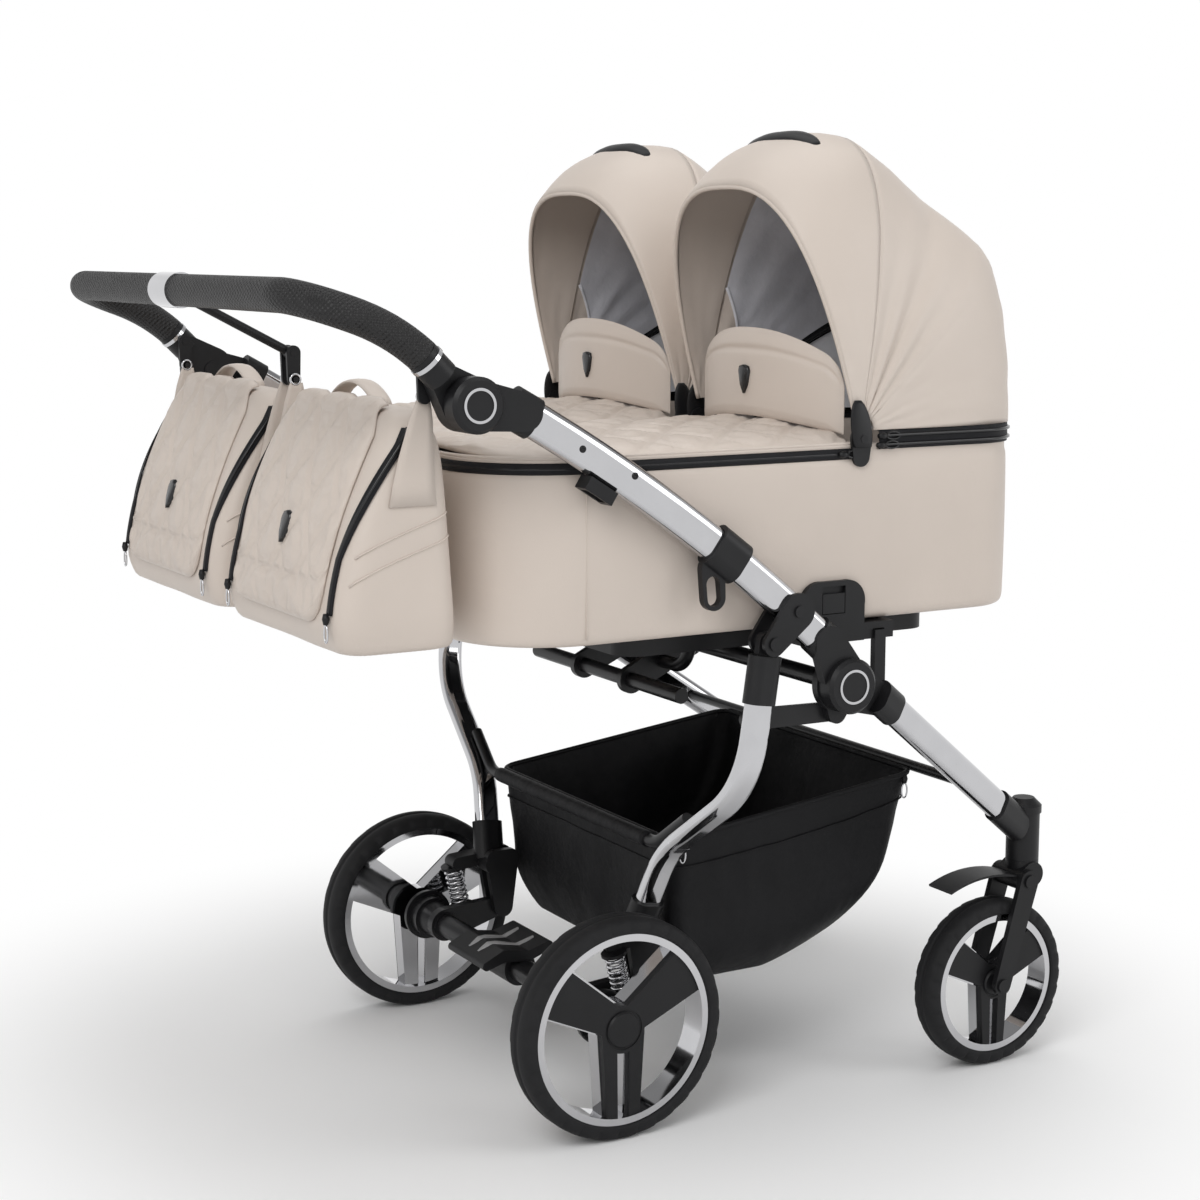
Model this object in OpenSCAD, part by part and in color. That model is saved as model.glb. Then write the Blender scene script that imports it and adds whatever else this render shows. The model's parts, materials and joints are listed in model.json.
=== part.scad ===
// Twin pram: two carrycots side by side on a folding four-wheel chassis, with two bags on the handle.
// Millimetres. +X is forwards, +Y is left and +Z is up. The origin is on the floor under the middle
// of the pram's box.

/* [Wheels] */
// Outside diameter of a rear wheel
rear_wheel_d = 280; // [250:1:300]
// Width of a rear tyre
rear_tyre_w = 48; // [40:1:54]
// Outside diameter of a front wheel
front_wheel_d = 226; // [200:1:232]
// Width of a front tyre
front_tyre_w = 42; // [36:1:46]
// Height of the rubber above the rim
tyre_h = 19; // [14:1:24]
// Diameter of the wheel axles
axle_d = 12; // [8:1:16]
// Distance between the middles of the rear wheels
rear_track = 576; // [560:1:600]
// Distance between the swivel axes of the front wheels
front_track = 624; // [600:1:640]
// Distance from the fold hub back to the rear axle
rear_axle_back = 244; // [230:1:270]
// Distance from the fold hub forwards to the swivel axis
castor_ahead = 371; // [350:1:400]
// Distance of the front axle behind its swivel axis
castor_trail = 53; // [45:1:60]

/* [Frame] */
// Height of the main fold hub
hub_h = 564; // [550:1:580]
// Distance of each side frame from the middle
frame_half = 407; // [404:1:415]
// Radius of the main fold hub
hub_r = 34; // [30:1:36]
// Width of the oval frame tubes
tube_w = 24; // [20:1:26]
// Depth of the upper frame tubes
upper_tube_h = 42; // [36:1:46]
// Depth of the lower frame tubes
lower_tube_h = 38; // [32:1:42]
// Wall of the oval frame tubes
tube_wall = 2; // [1.5:0.1:3]
// Rise of the upper tube's arch over its chord
tube_sag = 15; // [10:1:20]
// Height of the pivot on which a rear leg hangs
leg_pivot_h = 624; // [618:1:630]
// Distance from the fold hub back to the leg pivot
leg_pivot_back = 109; // [104:1:114]
// Thickness of a rear leg across the pram
leg_w = 22; // [18:1:24]
// Depth of a rear leg along the pram
leg_h = 36; // [30:1:40]
// Backward lean of the rear legs
leg_lean = 8.4; // [7:0.1:10]
// Diameter of the round cross tubes
cross_d = 22; // [18:1:24]

/* [Handle] */
// Distance from the fold hub back to the handle hub
handle_hub_back = 497; // [480:1:510]
// Height of the handle hub
handle_hub_h = 917; // [905:1:930]
// Radius of the handle hub
handle_hub_r = 31; // [28:1:33]
// Distance from the fold hub back to the handle bar
bar_back = 683; // [670:1:700]
// Height of the handle bar
bar_h = 1034; // [1020:1:1050]
// Diameter of the padded grip
grip_d = 38; // [34:1:40]
// Radius of the handle's corners
corner_r = 66; // [56:1:72]

/* [Carrycots] */
// Distance between the middles of the two carrycots
cot_spacing = 402; // [400:1:406]
// Outside width of a carrycot
cot_w = 360; // [350:1:362]
// Distance from the fold hub forwards to the head end
cot_head = 309; // [300:1:320]
// Distance from the fold hub back to the foot end
cot_foot = 455; // [440:1:460]
// Height of the underside of a tub
tub_bottom = 633; // [628:1:636]
// Height of the rim of a tub
tub_top = 848; // [840:1:856]
// Thickness of a tub's padded wall
tub_wall = 12; // [8:1:16]
// Depth of the base tray under a tub
tray_h = 27; // [22:1:28]
// Thickness of a mattress
mattress_h = 36; // [25:1:50]
// Crown of an apron over its edge
apron_crown = 20; // [12:1:26]
// Height of the raised apron flap
flap_h = 112; // [90:1:120]

/* [Hoods] */
// Distance from the fold hub forwards to the hood pivot
hood_ahead = 40; // [34:1:46]
// Height of the hood pivots
hood_h = 865; // [860:1:872]
// Reach of the hood at its crown
hood_crown = 361; // [340:1:370]
// Reach of the hood at its front rim
hood_rim = 305; // [290:1:320]
// Angle of the front rim behind level
rim_angle = 106; // [100:1:108]
// Thickness of the hood's fabric
hood_t = 5; // [4:1:8]

/* [Bags] */
// Width of a bag
bag_w = 360; // [340:1:362]
// Height of the underside of a bag
bag_bottom = 640; // [620:1:660]
// Height of a bag's shoulders
bag_top = 912; // [900:1:914]

/* [Basket] */
// Half width of the basket
basket_half = 238; // [200:1:245]
// Height of the basket's floor
basket_floor = 138; // [125:1:160]
// Height of the basket's rear bar
basket_h = 344; // [330:1:360]
// Thickness of the basket's fabric
basket_t = 4; // [3:1:6]

/* [Springs] */
// Wire of a suspension spring
wire_d = 4; // [3:0.5:4.5]
// Middle diameter of a suspension spring
spring_d = 23; // [20:1:26]
// Turns of a suspension spring
spring_turns = 7; // [5:1:8]

/* [Hidden] */
$fn = 64;
sides = [1, -1];
right = -1;
left = 1;

chrome = "#d9d9dc";
black = "#1d1d1f";
beige = "#cdbfb2";
grey = "#8b8d92";

// Clearances: a running fit on a pin, a seat that only just stands off, a fixed socket, a sliding sleeve
run = 0.05;
seat = 0.3;
snug = 0.05;
slip = 0.4;
trim_t = 2;
lap = 0.5;
hair = 0.1;

// Points in the side view are [x, z]
hub_x = (bar_back + grip_d / 2 + trim_t - (castor_ahead - castor_trail + front_wheel_d / 2)) / 2;
hub = [hub_x, hub_h];
handle_hub = [hub_x - handle_hub_back, handle_hub_h];
bar = [hub_x - bar_back, bar_h];
leg_pivot = [hub_x - leg_pivot_back, leg_pivot_h];
rear_axle = [hub_x - rear_axle_back, rear_wheel_d / 2];
front_axle = [hub_x + castor_ahead - castor_trail, front_wheel_d / 2];
castor_x = hub_x + castor_ahead;
castor_y = front_track / 2;
cot_y = cot_spacing / 2;
pin_r = 8;
bolt_r = 5;
hub_out = 26;
hub_in = 10.8;

// Upper tube: an arch that starts above the fold hub and ends beside the handle hub
tube_low = hub + [-17, 44];
tube_high = handle_hub + [49, -3];
tube_chord = tube_high - tube_low;
chord_len = norm(tube_chord);
chord_angle = atan2(tube_chord[1], -tube_chord[0]);
arch_r = chord_len * chord_len / (8 * tube_sag) + tube_sag / 2;
arch_half = asin(chord_len / 2 / arch_r);
arch_len = 2 * arch_half * PI / 180 * arch_r;
sleeve_len = 32;
sleeve_t = 3;
trigger_at = 196;
trigger_len = 44;
cup_at = 386;

// Lower tube: a straight run from the fold hub to the swivel housing
lower_start = [hub_x + 58, frame_half, hub_h - 23];
lower_end = [castor_x - 33, castor_y + 13, 336];
lower_dir = (lower_end - lower_start) / norm(lower_end - lower_start);
housing_r = 22;
housing_low = 274;
housing_top = 346;
stem_r = 10;
fork_pivot = [castor_x - 12, 250];
fork_half = front_tyre_w / 2 + 3;
fork_t = 8;

// Rear leg: a path in a plane that leans back from the leg pivot
leg_top = 22;
leg_bend_r = 120;
leg_bend = 54;
leg_unbend = 32;
leg_run = [[93], [leg_bend_r, leg_bend], [97], [leg_bend_r, -leg_unbend], [84]];
collar_len = 52;
collar_t = 3;
tongue_half = 5;

// Stay between the fold hub and the leg
stay_low = hub + [-5, -36];
stay_drop = 95;
stay_t = 5;
stay_y = frame_half - leg_w / 2 - 0.4 - stay_t;
stay_hole = 8.5;

// Rear suspension
arm_y = 196;
arm_t = 14;
cheek_t = 10;
sus_pivot = rear_axle + [86, 16];
sus_pin_r = 6;
spring_y = 230;
spring_low = [sus_pivot[0] - 43, sus_pivot[1] - 2];
spring_lean = 13;
spring_len = 57;
spring_pad = 4;
beam_r = 16;
drum_r = 35;

// Handle
ring_at = handle_hub + [-54, 54];
grip_end_angle = 40;
bar_angle = 20;
corner_at = bar + corner_r * [cos(bar_angle), -sin(bar_angle)];
arm_half_y = frame_half - 5;
hook_pivot = handle_hub + [-40, 40];
hook_peg = hook_pivot - [0, 32];
hook_pin_r = 4;
peg_r = 3.5;
sleeve_w = 60;

// Carrycot, in side view
cot_front = hub_x + cot_head;
cot_back = hub_x - cot_foot;
head_r = 80;
foot_r = 120;
hood_x = hub_x + hood_ahead;
apron_front = hood_x - 12;
apron_top = tub_top + seat + apron_crown + 6;
flap_bulge = 36;
flap_half = 156;
flap_t = 12;
cot_out = cot_w / 2;
tray_bottom = tub_bottom - tray_h;
post_x = hub_x + 68;
hood_half = cot_out - 2;
hood_split = 80;

// Helpers

// A side view outline made into a plate between two distances from the middle
module plate(y0, y1) {
    translate([0, y1, 0]) rotate([90, 0, 0]) linear_extrude(y1 - y0) children();
}

// The left side as drawn, or its mirror image on the right
module sided(s) {
    if (s > 0) children();
    else mirror([0, 1, 0]) children();
}

// A long profile with round ends, a along x and b along y
module oval(a, b) {
    w = min(a, b);
    square([max(a - b, 0.001) + (a > b ? 0 : w - 0.001), max(b - a, 0.001) + (b > a ? 0 : w - 0.001)],
        center = true);
    for (e = sides) translate(a > b ? [e * (a - b) / 2, 0] : [0, e * (b - a) / 2]) circle(d = w, $fn = 48);
}

// Two circles and the straight tangents between them
module link2d(p, q, rp, rq) {
    d = norm(q - p);
    a = atan2(q[1] - p[1], q[0] - p[0]);
    b = acos((rp - rq) / d);
    translate(p) circle(rp);
    translate(q) circle(rq);
    polygon([p + rp * [cos(a + b), sin(a + b)], p + rp * [cos(a - b), sin(a - b)],
        q + rq * [cos(a - b), sin(a - b)], q + rq * [cos(a + b), sin(a + b)]]);
}

// A convex outline with a round corner at each point
module blob2d(points, radii) {
    n = len(points);
    polygon(points);
    for (i = [0:n - 1]) link2d(points[i], points[(i + 1) % n], radii[i], radii[(i + 1) % n]);
}

// A straight bar between two points with the given section
module bar3d(p, q) {
    v = q - p;
    translate(p) rotate([0, acos(v[2] / norm(v)), atan2(v[1], v[0])]) linear_extrude(norm(v)) children();
}

// A path of straight runs [length] and bends [radius, angle], from the origin along +X and bending in XY
module walk(path, i = 0) {
    if (i == len(path)) children();
    else if (len(path[i]) == 1) translate([path[i][0], 0, 0]) walk(path, i + 1) children();
    else {
        r = path[i][0];
        a = path[i][1];
        translate([r * sin(abs(a)), sign(a) * r * (1 - cos(a)), 0]) rotate([0, 0, a]) walk(path, i + 1) children();
    }
}

module bend(r, a) {
    translate([0, r, 0]) rotate([0, 0, -90]) rotate_extrude(angle = a, $fn = r > 500 ? 720 : 96)
        translate([r, 0]) children();
}

module stretch(piece) {
    if (len(piece) == 1) rotate([90, 0, 90]) linear_extrude(piece[0]) children();
    else if (piece[1] > 0) bend(piece[0], piece[1]) children();
    else mirror([0, 1, 0]) bend(piece[0], -piece[1]) children();
}

// Bends have the first section. Straight runs have the second, a hair slimmer, and lap into the bends.
module trail(path) {
    last = len(path) - 1;
    for (i = [0:last]) walk([for (j = [0:1:i - 1]) path[j]]) {
        if (len(path[i]) > 1) stretch(path[i]) children(0);
        else translate([i > 0 ? -lap : 0, 0, 0])
            stretch([path[i][0] + (i > 0 ? lap : 0) + (i < last ? lap : 0)]) children(1);
    }
}

// A path of round bar
module round_trail(path, d) {
    trail(path) {
        circle(d = d);
        circle(d = d - hair);
    }
}

// Round pin across the pram at a point of the side view
module pin(p, r, y0, y1) {
    plate(y0, y1) translate(p) circle(r);
}

// A disc with a rounded outer edge, between two distances from the middle
module capped_disc(p, r, y0, y1, edge) {
    pin(p, r, y0, y1 - edge);
    translate([p[0], y1 - edge, p[1]]) rotate([-90, 0, 0]) cylinder(h = edge, r1 = r, r2 = r - edge);
}

// Frames that several pieces share

function arch_deg(mm) = mm / arch_r * 180 / PI;

// The upper tube's line, which runs up and back, starting a length along it
module on_arch(mm) {
    translate([tube_low[0], frame_half, tube_low[1]]) rotate([0, 0, 180]) rotate([90, 0, 0])
        rotate([0, 0, chord_angle + arch_half]) walk([[arch_r, -arch_deg(mm)]]) children();
}

module arch(mm, length) {
    on_arch(mm) stretch([arch_r, -arch_deg(length)]) children();
}

// The plane of the rear legs, with its origin on the leg pivot's line
module leg_plane() {
    translate([leg_pivot[0], 0, leg_pivot[1]]) rotate([0, leg_lean, 0]) children();
}

// The leg's line, which runs down
module on_leg() {
    leg_plane() translate([0, frame_half, -leg_top]) rotate([180, 90, 0]) children();
}

// Fold hub and tubes

module upper_tubes() {
    color(chrome) for (s = sides) sided(s) arch(0, arch_len) difference() {
        oval(upper_tube_h, tube_w);
        oval(upper_tube_h - 2 * tube_wall, tube_w - 2 * tube_wall);
    }
}

module lower_tubes() {
    color(chrome) for (s = sides) sided(s) bar3d(lower_start, lower_end) difference() {
        oval(lower_tube_h, tube_w);
        oval(lower_tube_h - 2 * tube_wall, tube_w - 2 * tube_wall);
    }
}

// The outer half of a hub, with a socket for an end of the upper tube
module hub_shell(p, r, socket_at, end_at, end_r) {
    difference() {
        union() {
            capped_disc(p, r, frame_half + seat / 2, frame_half + hub_out, 4);
            plate(frame_half + seat / 2, frame_half + tube_w / 2 + sleeve_t) link2d(p, end_at, r - 3, end_r);
            arch(socket_at, sleeve_len) oval(upper_tube_h + 2 * sleeve_t, tube_w + 2 * sleeve_t);
        }
        arch(0, arch_len) oval(upper_tube_h + 2 * snug, tube_w + 2 * snug);
        pin(p, pin_r + run, frame_half - 1, frame_half + hub_out - 8);
    }
}

module hub_uppers() {
    neck = tube_low + 14 * [-cos(chord_angle + arch_half), sin(chord_angle + arch_half)];
    color(black) for (s = sides) sided(s) hub_shell(hub, hub_r, 0, neck, upper_tube_h / 2);
}

module handle_hubs() {
    neck = tube_high + 14 * [cos(chord_angle - arch_half), -sin(chord_angle - arch_half)];
    color(black) for (s = sides) sided(s)
        hub_shell(handle_hub, handle_hub_r, arch_len - sleeve_len, neck, upper_tube_h / 2);
}

module hub_rings() {
    color(chrome) for (s = sides, p = [[hub, hub_r], [handle_hub, handle_hub_r]]) sided(s)
        plate(frame_half + hub_out, frame_half + hub_out + 1.2) translate(p[0]) difference() {
            circle(p[1] * 0.62);
            circle(p[1] * 0.62 - 3);
        }
}

// The inner half of the fold hub: pivot pin, socket of the lower tube, lug of the stay and carrycot post
module hub_lowers() {
    neck = [lower_start[0], lower_start[2]] + 10 * [lower_dir[0], lower_dir[2]];
    inner = frame_half - hub_in;
    post_in = frame_half - tube_w / 2 - sleeve_t - 9;
    color(black) for (s = sides) sided(s) {
        difference() {
            union() {
                plate(inner, frame_half - seat / 2) {
                    translate(hub) circle(hub_r + 2);
                    link2d(hub, neck, hub_r - 2, lower_tube_h / 2);
                    link2d(hub, stay_low, hub_r - 6, 13);
                }
                bar3d(lower_start - 4 * lower_dir, lower_start + sleeve_len * lower_dir)
                    oval(lower_tube_h + 2 * sleeve_t, tube_w + 2 * sleeve_t);
                translate([post_x - 8, post_in, hub_h - 40]) cube([16, 9.2, tray_bottom + 16 - hub_h + 40]);
            }
            bar3d(lower_start, lower_end) oval(lower_tube_h + 2 * snug, tube_w + 2 * snug);
        }
        pin(hub, pin_r, frame_half - 1, frame_half + hub_out - 8.5);
        pin(stay_low, bolt_r, stay_y - 2, inner + 1);
    }
}

// Round tubes across the pram, and the carriers of the carrycots' inner edges
front_at = lower_start + 0.68 * (lower_end - lower_start);
front_bar = [front_at[0] + 6, front_at[2] - 6];
front_bar_r = 7;
front_reach = front_at[1] - tube_w / 2 - 5;

module cross_tubes() {
    carrier = hub + [-47, -22];
    rear = hub + [-93, -44];
    pad_y = 150;
    rise = tray_bottom - seat - carrier[1];
    inner = frame_half - hub_in;
    color(black) {
        pin(hub, cross_d / 2, -inner, inner);
        pin(rear, cross_d / 2 - 1, -192, 192);
        for (s = sides) sided(s) {
            plate(58, 68) difference() {
                link2d(hub, rear, 19, 18);
                translate(hub) circle(cross_d / 2 + snug);
                translate(rear) circle(cross_d / 2 - 1 + snug);
            }
            translate([carrier[0], 68, carrier[1]]) rotate([0, 0, 90]) rotate([90, 0, 0])
                round_trail([[32], [36, 60], [(rise - 2 * 36 * (1 - cos(60)) - cross_d / 2 + 1) / sin(60)], [36, -60], [20]],
                cross_d - 4);
            translate([carrier[0], pad_y + 20, tray_bottom - seat - 8]) cylinder(h = 8, r = 18);
        }
        pin(front_bar, front_bar_r, -front_reach, front_reach);
    }
}

module swivel_housings() {
    color(black) for (s = sides) sided(s) difference() {
        union() {
            translate([castor_x, castor_y, housing_low]) cylinder(h = housing_top - housing_low, r = housing_r);
            translate([castor_x, castor_y, housing_top - 8]) cylinder(h = 10, r = housing_r + 2);
            translate([castor_x, castor_y, housing_top + 2])
                cylinder(h = 10, r1 = housing_r + 2, r2 = housing_r - 8);
            bar3d(lower_end - 40 * lower_dir, lower_end + 26 * lower_dir)
                oval(lower_tube_h + 2 * sleeve_t, tube_w + 2 * sleeve_t);
        }
        bar3d(lower_start, lower_end) oval(lower_tube_h + 2 * snug, tube_w + 2 * snug);
        translate([castor_x, castor_y, housing_low - 40]) cylinder(h = 40 + 64, r = stem_r + run);
        translate([castor_x, castor_y, housing_low - 40]) cylinder(h = 40, r = housing_r + 20);
    }
}

// Brackets that hold the rear legs on the upper tubes, and the cup holder's clip on the right tube
module tube_brackets() {
    bolt = tube_low + 78 * [-cos(chord_angle + arch_half), sin(chord_angle + arch_half)];
    near = frame_half - tube_w / 2 - snug;
    far = frame_half + tube_w / 2 + snug;
    color(black) {
        for (s = sides) sided(s) {
            for (y = [near - 5.5, far]) plate(y, y + 5.5) link2d(bolt, leg_pivot, upper_tube_h / 2 + 1, 15);
            pin(leg_pivot, bolt_r, near - 5, far + 5);
            for (y = [near - 1, frame_half + tongue_half + seat])
                pin(leg_pivot, 11, y, y + tube_w / 2 + 1 - tongue_half - seat + snug);
            pin(bolt, bolt_r + 2, far + 5, far + 8);
            pin(leg_pivot, bolt_r + 3, far + 5, far + 8);
        }
        sided(right) on_arch(cup_at) translate([0, -upper_tube_h / 2 - snug, 0]) difference() {
            translate([-20, -16, -12]) cube([40, 16, 24]);
            translate([-14, -18, -8]) cube([28, 12, 16]);
        }
    }
}

// Sliding clip of the fold lock, with its finger loop
module trigger(s) {
    color(black) sided(s) on_arch(trigger_at) difference() {
        union() {
            translate([-trigger_len / 2, 0, 0]) rotate([90, 0, 90]) linear_extrude(trigger_len)
                oval(upper_tube_h + 11, tube_w + 9);
            translate([0, 0, -5]) linear_extrude(10) link2d([6, -24], [-16, -50], 16, 15);
        }
        translate([-trigger_len, 0, 0]) rotate([90, 0, 90]) linear_extrude(2 * trigger_len)
            oval(upper_tube_h + 2 * slip, tube_w + 2 * slip);
        translate([0, 0, -6]) linear_extrude(12) link2d([-4, -38], [-16, -51], 9, 9);
    }
}

// Handle

module handle_arms() {
    inner = frame_half - 22;
    toward_hub = (handle_hub - ring_at) / norm(handle_hub - ring_at);
    start = ring_at + 34 * toward_hub;
    color(black) for (s = sides) sided(s) {
        difference() {
            union() {
                plate(inner, frame_half - seat / 2) link2d(handle_hub, ring_at + 34 * toward_hub, handle_hub_r, 16);
                bar3d([start[0], arm_half_y, start[1]], [ring_at[0], arm_half_y, ring_at[1]]) circle(d = grip_d);
            }
            pin(handle_hub, 11, inner - 1, inner + 9);
            translate([ring_at[0], arm_half_y, ring_at[1]]) rotate([0, grip_end_angle, 0]) translate([-40 + seat, 0, 0])
                cube([80, 60, 80], center = true);
        }
        pin(handle_hub, pin_r, frame_half - 4, frame_half + hub_out - 8.5);
        pin(hook_pivot, hook_pin_r, inner - 9, inner + 1);
    }
}

// Button that frees the handle's tilt, in the inner face of the hub
module tilt_button(s) {
    inner = frame_half - 22;
    color(black) sided(s) pin(handle_hub, 11 - 0.1, inner - 2, inner + 5);
}

module grip_half() {
    side_r = norm(corner_at - ring_at) / 2 / sin((grip_end_angle - bar_angle) / 2);
    translate([ring_at[0], arm_half_y, ring_at[1]]) rotate([0, 0, 180]) rotate([90, 0, 0])
        rotate([0, 0, grip_end_angle]) stretch([side_r, bar_angle - grip_end_angle - lap / side_r * 57])
        circle(d = grip_d - hair);
    translate([corner_at[0], arm_half_y, corner_at[1]]) rotate([0, bar_angle, 0]) rotate([0, 0, 180])
        stretch([corner_r, 90]) circle(d = grip_d);
}

module handle_grip() {
    reach_y = arm_half_y - corner_r + lap;
    color(black) {
        for (s = sides) sided(s) grip_half();
        pin(bar, grip_d / 2 - hair / 2, -reach_y, reach_y);
    }
}

// Rings at the grip's ends and the sleeve at its middle
module grip_trim() {
    color(chrome) for (s = sides) sided(s) {
        translate([ring_at[0], arm_half_y, ring_at[1]]) rotate([0, -(90 - 45), 0]) translate([0, 0, -12])
            difference() {
                cylinder(h = 5, d = grip_d + 2.4);
                translate([0, 0, -1]) cylinder(h = 7, d = grip_d + 2 * snug);
            }
    }
    color(black) plate(-sleeve_w / 2, sleeve_w / 2) translate(bar) difference() {
        circle(d = grip_d + 2 * trim_t);
        circle(d = grip_d + 2 * snug);
    }
}

// Middle arm that carries the inner bag hooks
module hook_arm() {
    root = bar + [10, -6];
    color(black) difference() {
        union() {
            bar3d([root[0], 0, root[1]], [hook_pivot[0], 0, hook_pivot[1]]) circle(d = 11);
            pin(hook_pivot, 8, -6.5, 6.5);
            pin(hook_pivot, hook_pin_r, -12, 12);
        }
        pin(bar, grip_d / 2 + trim_t + snug, -sleeve_w / 2, sleeve_w / 2);
    }
}

// Hangers that swing on the handle, with pegs for the bags' straps
module bag_hooks() {
    inner = frame_half - 22;
    color(black) for (s = sides) sided(s) {
        for (y = [7, inner - 8]) plate(y, y + 4.5) difference() {
            link2d(hook_pivot, hook_peg, 9, 8);
            translate(hook_pivot) circle(hook_pin_r + run);
        }
        pin(hook_peg, peg_r, 11, 18);
        pin(hook_peg, peg_r, inner - 15, inner - 7);
    }
}

module bag(s) {
    y0 = (frame_half - 22 - 10 - 14 - bag_w) / 2 + 14;
    front = cot_back - 30;
    side_view = [[front - 16, bag_bottom + 14], [front - 34, bag_top - 22], [front - 82, bag_top - 14],
        [front - 142, bag_bottom + 48], [front - 132, bag_bottom + 22]];
    color(beige) sided(s) {
        intersection() {
            plate(y0, y0 + bag_w) blob2d(side_view, [14, 22, 14, 22, 22]);
            translate([front - 200, y0, 0]) rotate([90, 0, 90]) linear_extrude(220)
                blob2d([[16, bag_bottom + 16], [bag_w - 16, bag_bottom + 16], [bag_w - 44, bag_top - 30],
                    [44, bag_top - 30]], [16, 16, 30, 30]);
        }
        for (y = [12, frame_half - 22 - 14]) difference() {
            union() {
                plate(y, y + 5) link2d(hook_peg, [hook_peg[0] + 3, bag_top - 34], 8, 14);
                plate(y > 100 ? y - 12 : y, y > 100 ? y + 5 : y + 17)
                    translate([hook_peg[0] + 3, bag_top - 42]) circle(12);
            }
            pin(hook_peg, peg_r + run, 0, frame_half);
        }
    }
}

// Rear legs

module leg_section(less) {
    difference() {
        oval(leg_w - less, leg_h - less);
        oval(leg_w - 2 * tube_wall + less, leg_h - 2 * tube_wall + less);
    }
}

module legs() {
    color(chrome) for (s = sides) sided(s) on_leg() trail(leg_run) {
        leg_section(0);
        leg_section(hair);
    }
}

// Collar and pivot tongue at the top of a leg, its bolt for the stay, and the casting at its foot
module leg_fittings() {
    foot_len = 46;
    color(black) for (s = sides) sided(s) {
        difference() {
            union() {
                on_leg() translate([-6, 0, 0]) stretch([collar_len + 6])
                    oval(leg_w + 2 * collar_t, leg_h + 2 * collar_t);
                plate(frame_half - tongue_half, frame_half + tongue_half)
                    link2d(leg_pivot, leg_pivot - [2.5, 18], 13, 13);
            }
            on_leg() stretch([2 * collar_len]) oval(leg_w + 2 * snug, leg_h + 2 * snug);
            pin(leg_pivot, bolt_r + run, frame_half - 20, frame_half + 20);
        }
        leg_plane() translate([0, frame_half - leg_w / 2 + snug, -stay_drop]) rotate([90, 0, 0]) {
            cylinder(h = stay_t + 1, r = bolt_r);
            translate([0, 0, stay_t + 1]) cylinder(h = 3, r = stay_hole + 3);
        }
        difference() {
            union() {
                on_leg() walk(leg_run) translate([-foot_len, 0, 0]) stretch([foot_len + 8])
                    oval(leg_w + 8, leg_h + 8);
                for (y = [arm_y - arm_t / 2 - seat - cheek_t, arm_y + arm_t / 2 + seat]) plate(y, y + cheek_t)
                    blob2d([sus_pivot, sus_pivot + [-14, 72], sus_pivot + [12, 72]], [14, 12, 12]);
                plate(arm_y - arm_t / 2 - seat - cheek_t, arm_y + arm_t / 2 + seat + cheek_t)
                    link2d(sus_pivot + [-14, 64], sus_pivot + [10, 64], 14, 14);
                pin(sus_pivot, sus_pin_r, arm_y - arm_t, arm_y + arm_t);
                spring_seat_top();
            }
            on_leg() walk(leg_run) translate([-2 * foot_len, 0, 0]) stretch([2 * foot_len])
                oval(leg_w + 2 * snug, leg_h + 2 * snug);
        }
    }
}

module on_spring() {
    translate([spring_low[0], spring_y, spring_low[1]]) rotate([0, -spring_lean, 0]) children();
}

module spring_seat_top() {
    on_spring() translate([0, 0, spring_len]) cylinder(h = spring_pad, d = spring_d + 10);
    top = spring_low + (spring_len + 12) * [-sin(spring_lean), cos(spring_lean)];
    plate(arm_y + arm_t / 2 + seat, spring_y) link2d(top, sus_pivot + [-10, 70], 9.4, 8);
}

// Bar of the basket, bent up along both legs
module basket_bar() {
    bar_d = 16;
    bar_r = 45;
    bar_drop = (leg_pivot_h - basket_h) / cos(leg_lean);
    rise = 90 - leg_bend;
    // Half length that lays the ends against the slanting part of the legs
    leg_at = [frame_half - leg_bend_r * (1 - cos(leg_bend)), leg_top + leg_run[0][0] + leg_bend_r * sin(leg_bend)];
    across = leg_at * [cos(leg_bend), sin(leg_bend)] - leg_w / 2 - bar_d / 2 - seat;
    half = (across - bar_drop * sin(leg_bend) - bar_r * cos(leg_bend) * cos(leg_bend)
        + bar_r * (1 - sin(leg_bend)) * sin(leg_bend)) / cos(leg_bend);
    color(black) leg_plane() translate([0, 0, -bar_drop]) {
        plate(-half - lap, half + lap) circle(d = bar_d - hair);
        for (s = sides) sided(s) translate([0, half, 0]) rotate([90, 0, 90])
            round_trail([[bar_r, rise], [62]], bar_d);
    }
}

module stays() {
    leg_bolt = leg_pivot - stay_drop * [sin(leg_lean), cos(leg_lean)];
    color(black) for (s = sides) sided(s) plate(stay_y, stay_y + stay_t) difference() {
        link2d(stay_low, leg_bolt, 12, 13);
        translate(stay_low) circle(bolt_r + run);
        translate(leg_bolt) circle(stay_hole);
    }
}

// Rear axle

module axle_beam() {
    half = rear_track / 2;
    wheel_in = half - rear_tyre_w / 2;
    color(black) {
        pin(rear_axle, beam_r, -190, 190);
        for (s = sides) sided(s) {
            translate([rear_axle[0], 186, rear_axle[1]]) rotate([-90, 0, 0])
                cylinder(h = 44, r1 = beam_r + 2, r2 = 25);
            capped_disc(rear_axle, drum_r - 6, 229, spring_y + spring_d / 2 + 8, 2);
            capped_disc(rear_axle, drum_r, spring_y + spring_d / 2 + 6, wheel_in - 8, 2);
            pin(rear_axle, axle_d / 2, half - 60, half + rear_tyre_w / 2 - 9.5);
            difference() {
                plate(arm_y - arm_t / 2, arm_y + arm_t / 2) link2d(rear_axle, sus_pivot, 23, 13);
                pin(sus_pivot, sus_pin_r + run, 0, half);
            }
            on_spring() translate([0, 0, -spring_pad]) cylinder(h = spring_pad, d = spring_d + 10);
            pin(spring_low + [1, -12], 10, arm_y, spring_y + 9);
        }
    }
}

// Coil springs: one tube each, straight for a wire's width at both ends

spring_rings = 8;
coil_h = spring_len - 2 * wire_d;
coil_n = spring_turns * spring_rings;

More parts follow.
